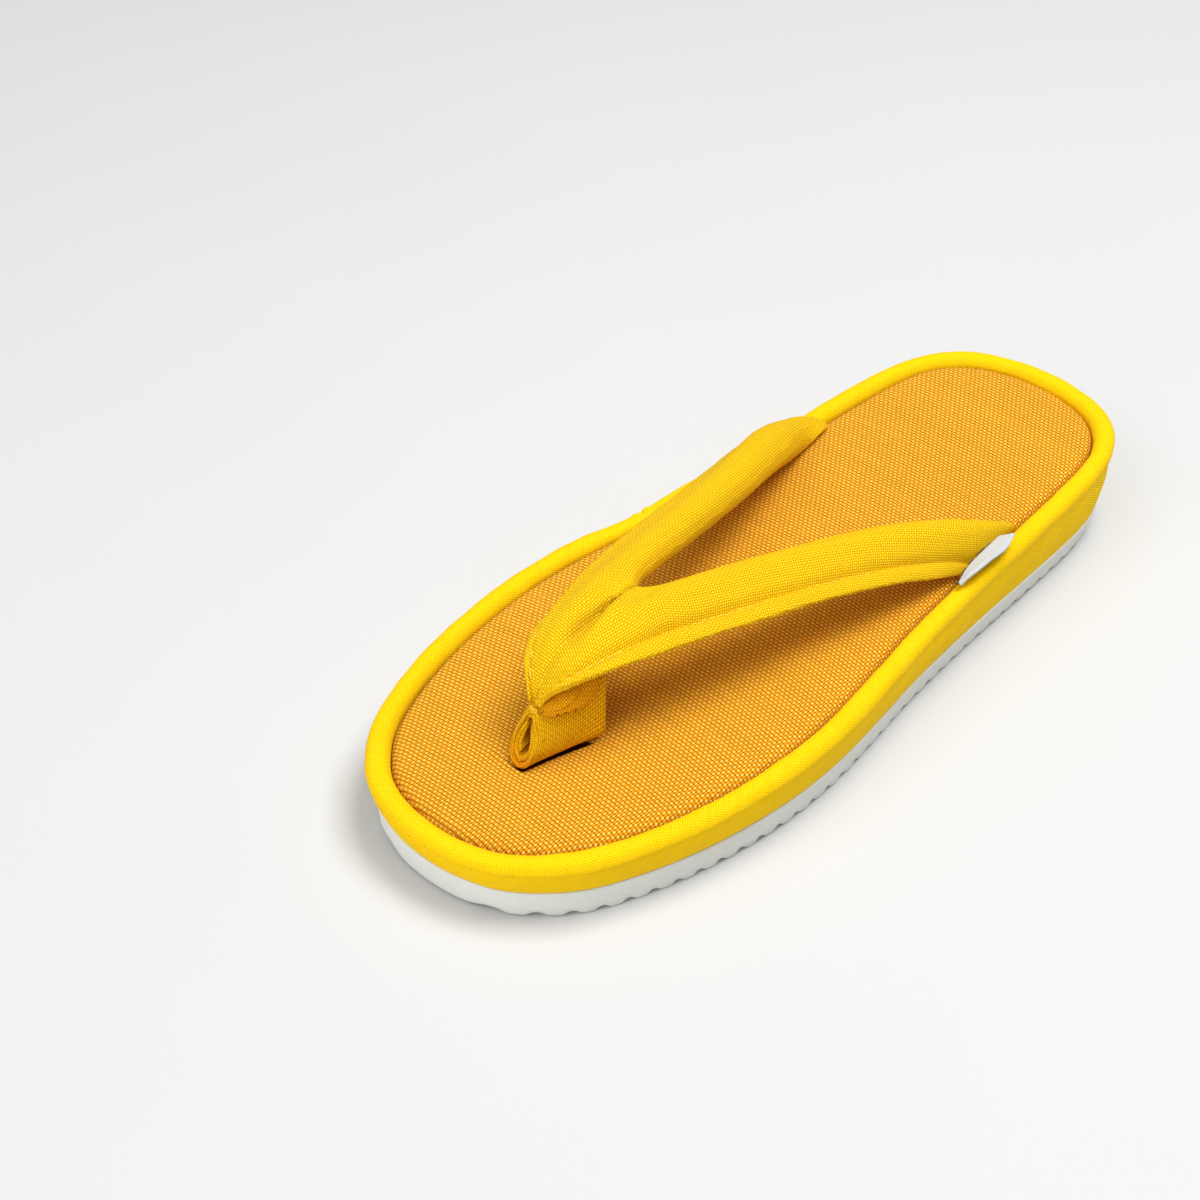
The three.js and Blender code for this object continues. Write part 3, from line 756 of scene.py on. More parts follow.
def midsole():
    o = Outline(np.linspace(0, HALF_LENGTH, 371))
    w_ring = o.full(o.w)
    rows_xy, rows_z = [], []
    for toe, heel, share, lift in RIM:
        xy = o.ring(toe + (heel - toe) * o.w)
        rows_xy.append(xy)
        rows_z.append(FOOT + share * (seam_height(xy[:, 1]) - FOOT) + lift)
    rows = np.concatenate([np.array(rows_xy), np.array(rows_z)[..., None]], -1)
    # typical profile at mid sole sets the spacing
    i = np.argmin(np.abs(o.full(o.y)[:370] - 30))
    knots = chords(rows[:, i])
    steps = np.concatenate([
        np.linspace(0, knots[3], 16)[:-1], np.linspace(knots[3], knots[5], 9)[:-1],
        np.linspace(knots[5], knots[8], 22)[:-1], np.linspace(knots[8], knots[9], 5)])
    p = spline(knots, rows, steps)                      # (profile, ring, 3)
    tangent = np.gradient(p, axis=1)
    slope = np.gradient(p, axis=0)
    n_out = np.cross(tangent, slope)
    n_out /= np.linalg.norm(n_out, axis=-1, keepdims=True).clip(1e-9)
    centre = p.mean(axis=(0, 1))
    if ((p - centre) * n_out)[0, 50:300].sum() < 0:
        n_out = -n_out
    y = p[..., 1]
    outer = (p[..., 0] > 0).astype(float)
    prof = np.broadcast_to(steps[:, None], y.shape)
    wall_top = knots[4]
    around = np.broadcast_to(o.around[:-1][None], y.shape)
    move = 0.16 * ripple(np.stack([around, prof * 1.3], -1), 34, 11) * smooth(0.5, 4, prof)
    move += 0.06 * ripple(np.stack([around, prof * 0.7], -1), 8, 12) * smooth(1, 5, prof)
    # outer wall, arch to heel: a soft trough under the roll and a fold of slack cloth below
    back = outer * smooth(-30, 25, y)
    move -= 0.42 * back * bump(prof, wall_top - 3.2, 2.2)
    move += 0.22 * back * bump(prof, wall_top - 7.5, 2.4)
    inner_back = (1 - outer) * smooth(-10, 40, y)
    move -= 0.3 * inner_back * bump(prof, wall_top - 3.0, 2.0)
    move += 0.18 * inner_back * bump(prof, wall_top - 6.8, 2.4)
    # toe and sides: the cloth drawn over the edge
    front = 1 - smooth(-30, 10, y)
    move -= 0.22 * front * bump(prof, wall_top - 2.4, 1.5)
    move += 0.12 * front * bump(prof, wall_top - 0.4, 1.2)
    # slack folds slanting down the wall
    for y0, length, depth, lean in ((66, 6.5, 0.14, 1.1), (44, 5.5, 0.20, 1.0),
                                    (18, 7.0, 0.16, 1.2), (-8, 6.0, 0.12, 1.2)):
        d = y - (y0 - (wall_top - prof) * lean)
        move -= outer * depth * bump(d, 0, length * 0.5) * smooth(2, 6, prof) * (1 - smooth(wall_top - 3, wall_top + 1, prof))
    # pucker on the inner rim beside the strap
    move -= 1.1 * (1 - outer) * bump(y, -3, 13) * smooth(wall_top - 6, wall_top, prof) * (1 - smooth(knots[6], knots[8], prof))
    pucker = (1 - outer) * smooth(wall_top - 5, wall_top, prof) * (1 - smooth(knots[6] - 0.5, knots[6] + 2.5, prof))
    d = y - 1.0 - (prof - wall_top) * 0.12
    move += pucker * (-0.75 * bump(d, 0, 0.65) + 0.42 * bump(d, 1.7, 1.0) + 0.3 * bump(d, -1.6, 1.0))
    p = p + n_out * move[..., None]
    # the rim is drawn in a little where each strap end is sewn down
    held = bump(y, 48, 15) * smooth(knots[6] - 1.5, knots[7], prof) * (1 - smooth(knots[8] - .2, knots[8] + 1, prof))
    p[..., 2] -= 0.5 * held
    skin = Skin()
    ids = skin.add(p)
    closed = np.concatenate([ids, ids[:, :1]], 1)
    skin.quads(closed, rim_uv(o, steps))
    count = len(o.s)
    right, left = np.arange(count), (2 * (count - 1) - np.arange(count)) % (2 * (count - 1))
    for row in (0, -1):
        r = ids[row]
        skin.quads(np.stack([r[right], r[left]], 1))
    me = skin.mesh("midsole")
    return put("midsole_cover", me, rim_canvas, "midsole")


# ------------------------------------------------------------------ toe post shape
def post_row(t):
    return spline(np.linspace(0, 1, len(POST)), np.array(POST), np.atleast_1d(t))


def post_loop(t, shrink, count=72):
    """Closed loops of the toe post at depths t, drawn in by shrink. Starts at the foot's
    middle and goes up the outer side. Returns (len(t), count, 3)."""
    t = np.atleast_1d(np.asarray(t, float))
    out = []
    shrink = np.broadcast_to(np.asarray(shrink, float), t.shape)
    for row, d in zip(post_row(t), shrink):
        y_foot, y_top, z_foot, z_top, half, square = row
        rise = z_top - z_foot
        side = []
        for f, almond, sq in LOOP:
            g = f + (0.5 - f) * 2 * (d / rise)
            w = max(0.3, half * (almond + (sq - almond) * square) - d)
            side.append((w, g))
        pts = [(0.0, side[0][1] - 0.012)] + side + [(0.0, side[-1][1] + 0.004)]
        pts += [(-w, g) for w, g in reversed(side)] + [(0.0, side[0][1] - 0.012)]
        pts = np.array(pts)
        k = chords(pts * (1, rise))
        q = spline(k, pts, np.linspace(0, k[-1], count + 1)[:-1])
        up = np.clip(q[:, 1], 0, 1)
        out.append(np.stack([q[:, 0] + POST_LEAN[0] * (1 - up) + 0.5 * up,
                             y_foot + (y_top - y_foot) * q[:, 1] + POST_LEAN[1] * (1 - up),
                             z_foot + rise * q[:, 1] - 0.6 * (1 - up)], 1))
    return np.array(out)


def foot_half(y):
    """Half width of the post where it meets the insole."""
    t = np.clip((np.asarray(y, float) + 91.6) / 20.8, 0, 1)
    rows = spline(np.linspace(0, 1, 3), np.array(POST), np.clip(t, 0, 1).ravel())
    half, square = rows[:, 4].reshape(t.shape), rows[:, 5].reshape(t.shape)
    return half * (0.62 + (0.96 - 0.62) * square)


# ------------------------------------------------------------------ insole
def insole():
    dense = s_at_y(np.arange(-112.5, -66, 0.44))
    o = Outline(np.concatenate([np.linspace(0, dense[0], 34)[:-1], dense,
                                np.linspace(dense[-1], HALF_LENGTH, 236)[1:]]))
    count = len(o.s)
    edge_rows = np.array(PAD)
    k = chords(edge_rows)
    fine = np.concatenate([np.linspace(0, k[2], 5)[:-1], np.linspace(k[2], k[5], 16)])
    edge = spline(k, edge_rows, fine)
    rings = []
    for inset, lift in edge:
        xy = o.ring(np.full(count, inset))
        rings.append(np.stack([xy[:, 0], xy[:, 1], seam_height(xy[:, 1]) + lift], 1))
    last = rings[-1]
    spine = np.stack([np.zeros(len(last)), last[:, 1] * 0.80, np.zeros(len(last))], 1)
    # from the edge to the middle line: 1 mm steps, closer near the post
    r = np.concatenate([np.linspace(1, 0.34, 25)[1:], np.linspace(0.34, 0, 27)[1:]])
    for f in r:
        q = spine + (last - spine) * f
        lift = PAD_CROWN - (PAD_CROWN - 0.35) * f**2
        q[:, 2] = seam_height(q[:, 1]) + lift
        rings.append(q)
    p = np.array(rings)
    x, y = p[..., 0], p[..., 1]
    depth_in = np.concatenate([edge[:, 0], 12 + 30 * (1 - r)])[:, None]
    top = np.broadcast_to(smooth(6.3, 12, depth_in), x.shape)
    flat = np.stack([x, y], -1)
    z = p[..., 2]
    z += top * (0.16 * ripple(flat, 55, 21) + 0.07 * ripple(flat, 17, 22))
    # slight hollows under heel and ball
    z -= 0.35 * np.exp(-((x / 26) ** 2 + ((y - 72) / 34) ** 2)) * top
    z -= 0.25 * np.exp(-((x / 30) ** 2 + ((y + 62) / 34) ** 2)) * top
    # dent round the foot of the post
    px, py = x - POST_LEAN[0], y - POST_LEAN[1]
    inside_y = smooth(-92.2, -90.4, py) * (1 - smooth(-73.6, -72.0, py))
    fh = foot_half(py)
    off = np.maximum(np.abs(px) - fh, 0)
    off_y = np.maximum(np.maximum(-91.8 - py, py + 70.4), 0)
    far = np.hypot(off, off_y)
    z -= 0.55 * np.exp(-far / 2.2)
    z += 0.28 * bump(far, 7.5, 4.0)
    gap = np.abs(px) - fh
    # the slit stands open along the outer side of the post, wider to the back
    ajar = np.where(px > 0, -0.55 + 0.35 * smooth(-90, -72, py), -0.7)
    hollow = (1 - smooth(-1.0, 0.15, gap - ajar)) * inside_y
    z -= 1.5 * hollow
    # painted shade in the slit beside the post
    shade = 1 - smooth(0.25, 0.8, hollow)
    # painted shade in the joint with the rim, most on the inner side
    joint_shade = 0.13 + 0.37 * smooth(5, -25, x) * smooth(-112, -95, y)
    shade = shade * (1 - joint_shade * (1 - smooth(6.95, 8.0, depth_in)))
    # dips where the strap ends go down into the seam
    at_edge = np.abs(x) - half_width(y, 8.3)
    dip = smooth(-0.8, 1.2, at_edge) * smooth(35, 38, y) * (1 - smooth(56, 59.5, y))
    z -= 3.0 * dip * (p[..., 2] > seam_height(y) - 2.6)
    p[..., 2] = z
    # cloth coordinates: rows of weft across the sole, gently bowed, drawn in at the post
    pull = 0.9 * np.exp(-((np.hypot(x, y + 92) / 8.0) ** 2))
    bow = 0.0022 * x * x
    run = chords(edge)
    skirt = np.concatenate([run - run[np.argmin(np.abs(edge[:, 0] - 6.8) + (edge[:, 1] < -1) * 9)], np.zeros(len(r))])
    skirt = np.minimum(skirt, 0)[:, None]
    xn = x / np.maximum(np.hypot(x, y * 0.3), 1e-6)
    uu = (x - skirt * xn) / 0.72
    vv = (y + bow + pull * np.tanh((-92 - y) / 3.5)) / 1.1
    uv = np.stack([uu, vv], -1)
    skin = Skin()
    ids = skin.add(p)
    mirror = (2 * (count - 1) - np.arange(2 * (count - 1))) % (2 * (count - 1))
    centre = np.minimum(np.arange(2 * (count - 1)), mirror)
    ids[-1] = ids[-1][centre]
    closed = np.concatenate([ids, ids[:, :1]], 1)
    uvc = np.concatenate([uv, uv[:, :1]], 1)
    skin.quads(closed, uvc)
    right, left = np.arange(count), (2 * (count - 1) - np.arange(count)) % (2 * (count - 1))
    skin.quads(np.stack([ids[0][right], ids[0][left]], 1))
    me = skin.mesh("insole")
    corner = np.empty(len(me.loops), np.int32)
    me.loops.foreach_get("vertex_index", corner)
    value = np.ones(len(me.vertices))
    value[: shade.size] = shade.ravel()
    layer = me.uv_layers.new(name="shade")
    layer.uv.foreach_set("vector", np.repeat(value[corner], 2).astype(np.float32))
    drop_loose(me)
    ob = put("footbed", me, footbed_canvas, "insole")
    return ob


# ------------------------------------------------------------------ strap
# the inner arm is fuller towards its sewn end: row, inward, lift, roll radius, shift along
INNER_END = [
    (8, 0.1, 0.0, 4.7, 0.0), (9, 0.4, 0.0, 5.0, 0.0), (10, 0.8, 0.2, 5.6, 0.0), (11, 1.0, 0.6, 6.2, 0.0),
    (12, 0.8, 0.5, 6.5, 0.0), (13, 0.2, -0.1, 6.1, 0.0), (14, 0.0, -0.4, 5.2, 0.2), (15, 0.0, 0.1, 4.3, 0.5),
    (16, 0.0, 0.6, 3.3, 1.0), (17, 0.0, 0.3, 2.2, 1.5), (18, 0.0, 0.0, 1.7, 1.7),
]
CREASE = [  # y, z of the valley between the two arms, from where they part to the tip
    (-49.2, 46.4), (-52.5, 47.8), (-55.6, 48.9), (-58.8, 49.7), (-61.6, 49.5), (-64.7, 49.1), (-68.5, 48.4),
    (-72.0, 47.2), (-75.5, 45.4), (-79.0, 42.5), (-82.0, 38.9), (-84.1, 35.2), (-85.2, 33.0),
]
NOTCH_PLACE = 10.2  # running length from the first point to the notch


class Arm:
    """Sections along a strap arm, laid out on the outer side; u runs across, v up."""

    def __init__(self, count, inner=False):
        table = np.array(ARM, float)
        if inner:
            for row, inward, lift, roll, shift in INNER_END:
                table[row, 0] -= inward
                table[row, 2] += lift
                table[row, 1] += shift
                table[row, 6] = roll
        t = np.linspace(0, 1, 2001)
        rows = spline(np.linspace(0, 1, len(table)), table, t)
        plain = spline(np.linspace(0, 1, len(ARM)), np.array(ARM, float), t)
        s = chords(plain[:, :3] * 0.6 + plain[:, 3:6] * 0.4)
        want = np.linspace(0, s[-1], count)
        rows = np.stack([np.interp(want, s, rows[:, k]) for k in range(7)], 1)
        self.inner = inner
        self.a, self.f, self.roll = rows[:, :3], rows[:, 3:6], rows[:, 6]
        mid = self.a * 0.6 + self.f * 0.4
        self.s = want
        self.along = np.gradient(mid, axis=0)
        self.along /= np.linalg.norm(self.along, axis=1, keepdims=True)
        across = self.f - self.a
        self.width = np.linalg.norm(across, axis=1)
        self.across = across / self.width[:, None]
        self.up = np.cross(self.across, self.along)
        self.up /= np.linalg.norm(self.up, axis=1, keepdims=True)
        self.flange = np.minimum(FLANGE_WIDTH, self.width * 0.36)
        self.seam = self.width - self.flange
        self.edge = np.minimum(FLANGE_HALF, self.roll)

    def at(self, u, v):
        return self.a[:, None] + self.across[:, None] * u[..., None] + self.up[:, None] * v[..., None]

    def line(self, share, lift, t):
        """Points at share of the flange across and lift above, at running lengths t."""
        u = self.seam + self.flange * share
        p = self.a + self.across * u[:, None] + self.up * (self.edge * lift)[:, None]
        return np.stack([np.interp(t, self.s, p[:, k]) for k in range(3)], 1)

    def direction(self, t, which):
        v = getattr(self, which)
        d = np.stack([np.interp(t, self.s, v[:, k]) for k in range(3)], 1)
        return d / np.linalg.norm(d, axis=1, keepdims=True)


def section_controls(arm):
    """Control points of the section, inner edge over the top, round the flange, and back."""
    r, seam, edge, fl = arm.roll, arm.seam, arm.edge, arm.flange
    low = 1 + (0.30 * smooth(arm.s[-1] - 30, arm.s[-1] - 8, arm.s) if arm.inner else 0)
    us, vs = [], []

    def add(u, v):
        us.append(u * np.ones_like(r))
        vs.append(v * np.ones_like(r))

    for across, up, down in SECTION:
        tuck = 0 if across < 0.3 else (across - 0.3) / 0.7
        add(across * (r if across < 0 else seam), np.maximum(up * r, edge * tuck if up > 0 else 0))
    add(seam * 0.94, edge * 1.2)
    add(seam, edge * 0.62)
    for share, h in ((0.28, 0.98), (0.55, 1.05), (0.82, 0.92), (0.95, 0.66), (0.995, 0.36), (0.955, 0.03),
                     (0.995, -0.30), (0.95, -0.62), (0.82, -0.86), (0.5, -0.95), (0.25, -0.85)):
        add(seam + fl * share, edge * h)
    add(seam, -edge * 0.6)
    for across, up, down in reversed(SECTION[1:]):
        tuck = 0 if across < 0.3 else (across - 0.3) / 0.7
        add(across * (r if across < 0 else seam), -np.maximum(down * r * low, edge * tuck))
    add(us[0], vs[0])
    return np.array(us), np.array(vs)  # (control, station)


def stitch_marks(arm):
    last = arm.s[np.argmax(arm.f[:, 1] > 31.0)]
    return np.arange(5.0, last, STITCH_PITCH)


def arm_half(arm):
    """One arm's skin, cut off at the centre plane: points, faces, lengths round and along."""
    us, vs = section_controls(arm)
    base_u, base_v = section_controls(Arm(len(arm.s)))
    j = np.argmin(np.abs(arm.a[:, 1] + 34))
    knots = chords(np.stack([base_u[:, j], base_v[:, j]], 1))
    pieces = []
    for i in range(len(knots) - 1):
        step = 0.4 if 7 <= i <= 17 else 0.5
        n_in = max(2, int(round((knots[i + 1] - knots[i]) / step)))
        pieces.append(np.linspace(knots[i], knots[i + 1], n_in + 1)[:-1])
    steps = np.concatenate(pieces)
    u = spline(knots, us, steps).T      # (station, round)
    v = spline(knots, vs, steps).T
    s, y = arm.s[:, None], arm.a[:, 1][:, None]
    # the rolls press against each other behind the notch
    u = u - 2.9 * bump(y, -53.0, 6.0) * smooth(0.2, 1.0, -u / arm.roll[:, None]) * (
        1 - smooth(0.4, 0.9, v / arm.roll[:, None]))
    # stitch line: a valley with a dimple at each stitch, the flange puffed up beside it
    phase = np.cos(2 * math.pi * (s - 5.0) / STITCH_PITCH)
    live = smooth(2, 9, s) * (1 - smooth(arm.s[-1] - 34, arm.s[-1] - 26, s))
    if arm.inner:
        live = live * smooth(24, 60, s) * 0.25
    d = u - arm.seam[:, None]
    up_side, low_side = (v > 0), (v < 0)
    near = bump(d, -0.15, 0.95)
    v = v - up_side * live * near * (0.30 + 0.15 * phase)
    v = v + low_side * live * bump(d, 0, 0.8) * (0.18 + 0.12 * phase)
    puff = bump(d, 2.1, 1.35) * live
    v = v + up_side * puff * (0.24 - 0.08 * phase)
    edge_near = bump(d, arm.flange[:, None], 0.9)
    u = u - edge_near * live * 0.07 * phase
    if arm.inner:
        v = v + up_side * bump(d, -0.6, 2.2) * 1.0 * smooth(20, 50, s) * (1 - smooth(arm.s[-1] - 40, arm.s[-1] - 20, s))
    girth = np.array([chords(np.stack([a, b], 1)) for a, b in
                      zip(np.concatenate([u, u[:, :1]], 1), np.concatenate([v, v[:, :1]], 1))])
    if arm.inner:
        # its flange is folded down behind the roll
        turn = math.radians(74) * smooth(-8, 40, s) * (1 - 0.5 * smooth(58, 88, s)) * (1 - smooth(118, 136, s))
        w = turn * smooth(-2.2, 1.0, d)
        du, dv = d * np.cos(w) + v * np.sin(w), -d * np.sin(w) + v * np.cos(w)
        live_fold = smooth(-3.2, -1.4, d)
        u = u + (arm.seam[:, None] + du - u) * live_fold
        v = v + (dv - v) * live_fold
    p = arm.at(u, v)
    raw = np.stack([girth, np.broadcast_to(s, girth.shape)], -1)
    skin = Skin()
    ids = skin.add(p)
    skin.quads(np.concatenate([ids, ids[:, :1]], 1), raw)
    for end, row in ((0, ids[0]), (-1, ids[-1])):
        hub = skin.add(p[end].mean(0)[None])[0]
        ring = np.concatenate([row, row[:1]])
        skin.quads(np.stack([ring, np.full_like(ring, hub)]))
    me = skin.mesh("arm")
    bm = bmesh.new()
    bm.from_mesh(me)
    bmesh.ops.bisect_plane(bm, geom=bm.verts[:] + bm.edges[:] + bm.faces[:], dist=1e-6,
                           plane_co=(0, 0, 0), plane_no=(1, 0, 0), clear_inner=True)
    layer = bm.loops.layers.uv.active
    bm.verts.index_update()
    pts = np.array([q.co[:] for q in bm.verts]) / MM
    faces = [[q.index for q in f.verts] for f in bm.faces]
    uvs = [[loop[layer].uv[:] for loop in f.loops] for f in bm.faces]
    bm.free()
    bpy.data.meshes.remove(me)
    flat = np.abs(pts[:, 0]) < 2e-3
    pts[flat, 0] = 0
    keep = [i for i, f in enumerate(faces) if not flat[f].all()]
    return pts, [faces[i] for i in keep], [uvs[i] for i in keep], flat


def strap():
    arm, inner = Arm(370), Arm(370, True)
    pts, faces, uvs, flat = arm_half(arm)
    pts2, faces2, uvs2, flat2 = arm_half(inner)
    mirrored = pts2 * (-1, 1, 1)
    match = len(pts) + np.arange(len(pts2))
    plane = np.where(flat)[0]
    for i in np.where(flat2)[0]:
        gap = np.linalg.norm(pts[plane] - mirrored[i], axis=1)
        if gap.min() < 0.02:
            match[i] = plane[gap.argmin()]
    all_faces, cloth, side = list(faces), [], []
    for w in uvs:
        cloth.extend(w)
        side.extend([(1.0, 0.0)] * len(w))
    for f, w in zip(faces2, uvs2):
        all_faces.append([int(match[i]) for i in reversed(f)])
        cloth.extend(reversed(w))
        side.extend([(-1.0, 0.0)] * len(w))
    me = bpy.data.meshes.new("strap")
    me.from_pydata((np.concatenate([pts, mirrored]) * MM).tolist(), [], all_faces)
    for name, values in (("cloth", cloth), ("side", side)):
        me.uv_layers.new(name=name).uv.foreach_set("vector", np.array(values, np.float32).ravel())
    drop_loose(me)
    face_out(me)
    smooth_all(me)
    bridged = shape_strap(me)
    lay_cloth(me, bridged)
    ob = put("strap_arms", me, strap_canvas, "strap")
    return ob, arm, inner


def lay_cloth(me, bridged):
    """Turns lengths round and along each arm into thread counts. Where the cloth bridges
    the valley, the length round is taken from the distance to the centre plane."""
    raw = np.empty(len(me.loops) * 2, np.float32)
    me.uv_layers["cloth"].uv.foreach_get("vector", raw)
    raw = raw.reshape(-1, 2).astype(float)
    side = np.empty(len(me.loops) * 2, np.float32)
    me.uv_layers["side"].uv.foreach_get("vector", side)
    side = np.sign(side.reshape(-1, 2)[:, 0])
    corner = np.empty(len(me.loops), np.int32)
    me.loops.foreach_get("vertex_index", corner)
    x, w = np.abs(coords(me)[corner, 0]), bridged[corner]
    a = raw[:, 0] * (1 - w) + (x * 1.04 + 2.4) * w
    b = raw[:, 1]
    cloth = np.stack([1.47 * a * side - 0.11 * b, 0.38 * a * side + 1.5 * b], 1)
    me.uv_layers["cloth"].uv.foreach_set("vector", cloth.astype(np.float32).ravel())
    me.uv_layers.remove(me.uv_layers["side"])


def fill_valley(me):
    """Between the arms, in front of the notch, the cloth bridges the two rolls."""
    p, nrm = coords(me), normals_of(me)
    line = np.array(CREASE)
    seg = np.diff(line, axis=0)
    length = np.linalg.norm(seg, axis=1)
    q = p[:, 1:]
    best = np.full(len(p), 1e9)
    offset, place = np.zeros(len(p)), np.zeros(len(p))
    out = np.zeros((len(p), 2))
    run = 0.0
    for a, d, size in zip(line[:-1], seg, length):
        n_seg = np.array([d[1], -d[0]]) / size          # outward: up and to the front
        f = np.clip(((q - a) @ d) / size**2, 0, 1)
        gap = q - (a + f[:, None] * d)
        dist = np.linalg.norm(gap, axis=1)
        closer = dist < best
        best = np.where(closer, dist, best)
        offset = np.where(closer, gap @ n_seg, offset)
        place = np.where(closer, run + f * size, place)
        out[closer] = n_seg
        run += size
    # outward must point up at the notch end
    if out[np.argmin(place)][1] < 0:
        out, offset = -out, -offset
    x = np.abs(p[:, 0])
    facing = smooth(0.0, 0.25, (nrm[:, 1:] * out).sum(1))
    bridge = smooth(NOTCH_PLACE - 2.0, NOTCH_PLACE + 1.0, place)
    want = 0.05 * x * bridge + 0.7 * x * (1 - bridge)
    k = 0.35
    lift = k * np.log1p(np.exp(np.clip((want - offset) / k, -40, 40)))
    live = facing * (1 - smooth(0.4 + 2.4 * bridge, 1.8 + 4.2 * bridge, x)) * smooth(0.3, 2.2, place) * (1 - smooth(run - 3, run, place))
    live *= (best < 9)
    p[:, 1:] += out * (np.minimum(lift, 8) * live)[:, None]
    set_coords(me, p)
    w = bump(p[:, 0], 0, 3.0) * (p[:, 1] < -60.5) * (p[:, 1] > -84) * smooth(0.0, 0.3, (nrm[:, 1:] * out).sum(1)) * (best < 6)
    relax(me, 0.5 * w, 4)
    return facing * (1 - smooth(3.0, 6.5, x)) * (p[:, 1] < -59.5) * smooth(-58.5, -62.5, p[:, 1]) * (best < 9)


def along_line(p, line):
    """Running length of the nearest point of a line, and the distance to it."""
    best, place, run = np.full(len(p), 1e9), np.zeros(len(p)), 0.0
    for a, b in zip(line[:-1], line[1:]):
        size = np.linalg.norm(b - a)
        f = np.clip(((p - a) @ (b - a)) / size**2, 0, 1)
        dist = np.linalg.norm(p - a - f[:, None] * (b - a), axis=1)
        place = np.where(dist < best, run + f * size, place)
        best = np.minimum(best, dist)
        run += size
    return place, best


def shape_strap(me):
    """Slack and creases of the padded arms, and painted shade along the crease between them."""
    bridged = fill_valley(me)
    p, nrm = coords(me), normals_of(me)
    tops = smooth(-0.1, 0.5, nrm[:, 2])
    free = smooth(24, 32, p[:, 2])
    move = 0.20 * ripple(p, 26, 31) * free
    move += 0.07 * ripple(p, 9, 32) * free
    # the outer roll swells over the notch, the inner one tucks in behind it
    near = np.exp(-(((p[:, 0] - 2.6) / 2.4) ** 2 + ((p[:, 1] + 60.0) / 4.5) ** 2))
    move += 0.55 * near * tops * smooth(0.1, 1.4, p[:, 0])
    near = np.exp(-(((p[:, 0] + 2.6) / 2.4) ** 2 + ((p[:, 1] + 63.0) / 6.0) ** 2))
    move -= 0.45 * near * tops * smooth(0.1, 1.4, -p[:, 0])
    # the trough from the notch down towards the outer side of the tip, fading out
    line = np.array([(0.2, -55.6, 49.6), (-0.1, -58.8, 50.1), (0.1, -61.6, 49.7), (0.5, -64.7, 49.2), (1.0, -68.5, 48.1),
                     (1.7, -72.3, 46.9), (2.6, -76.4, 45.4)])
    inward = np.array([0.0, 0.42, -0.908])
    place, off = along_line(p - (p @ inward)[:, None] * inward, line - (line @ inward)[:, None] * inward)
    depth = np.interp(place, (0, 1.6, 3.2, 5.5, 9, 13, 18, 22.5), (0.1, 0.9, 1.7, 1.8, 1.7, 1.5, 1.1, 0.0))
    width = np.interp(place, (0, 3.2, 6, 9, 13, 18, 22.5), (0.75, 0.8, 1.0, 1.35, 1.8, 2.3, 2.7))
    runs = chords(line)
    aside = p[:, 0] - np.interp(place, runs, line[:, 0])
    facing = smooth(0.0, 0.35, -(nrm @ inward)) * (p[:, 2] > 30)
    # painted shade: a dark line in the notch and a darker band on the inner wall of the trough
    dark = 0.88 * np.exp(-((off / 0.55) ** 2)) * smooth(0.6, 1.6, place) * (1 - smooth(3.0, 4.6, place))
    wall = np.exp(-(((aside + 0.65 * width) / (0.95 * width)) ** 2)) * (off < 9)
    dark = np.maximum(dark, 0.40 * wall * smooth(1.5, 4.5, place) * (1 - smooth(10, 24, place)))
    # painted shade where the outer roll comes out over the inner one
    root = np.array([(0.3, -49.8, 46.6), (0.3, -52.5, 47.9), (0.2, -55.6, 49.6)])
    near_root, gap_root = along_line(p - (p @ inward)[:, None] * inward, root - (root @ inward)[:, None] * inward)
    dark = np.maximum(dark, 0.38 * np.exp(-((gap_root / 0.55) ** 2)))
    light = 1 - dark * facing
    trough = depth * np.exp(-((off / width) ** 2)) * smooth(0.0, 0.35, -(nrm @ inward)) * (p[:, 2] > 30)
    p += inward * trough[:, None]
    # the outer roll dips where it passes over the inner one
    near = np.exp(-(((p[:, 0] - 3.8) / 3.4) ** 2 + ((p[:, 1] + 51.5) / 5.0) ** 2))
    move -= 1.3 * near * tops * smooth(0.2, 1.4, p[:, 0])
    # creases: place, direction, half length, half width, depth
    creases = [
        ((-9.0, -52.0, 50.0), (-0.6, 0.75, 0.0), 5.0, 1.8, 0.20),
        ((26.0, 33.0, 37.0), (0.75, 0.6, -0.2), 5.0, 1.8, 0.30),     # where the arms turn down
        ((31.0, 44.0, 35.0), (0.8, 0.3, -0.4), 4.5, 1.6, 0.30),
        ((-28.0, 36.0, 39.0), (-0.75, 0.6, -0.2), 5.0, 2.4, 0.20),
        ((-32.0, 50.0, 36.0), (-0.8, 0.3, -0.4), 4.5, 1.8, 0.22),
    ]
    for c, d, length, width, depth in creases:
        c, d = np.array(c), np.array(d) / np.linalg.norm(d)
        q = p - c
        along = q @ d
        across = np.linalg.norm(q - along[:, None] * d, axis=1)
        fall = bump(along, 0, length)
        move -= depth * fall * (bump(across, 0, width) - 0.35 * bump(across, width * 2.1, width)) * tops
    p += nrm * move[:, None]
    set_coords(me, p)
    corner = np.empty(len(me.loops), np.int32)
    me.loops.foreach_get("vertex_index", corner)
    me.uv_layers.new(name="shade").uv.foreach_set("vector", np.repeat(light[corner], 2).astype(np.float32))
    return bridged


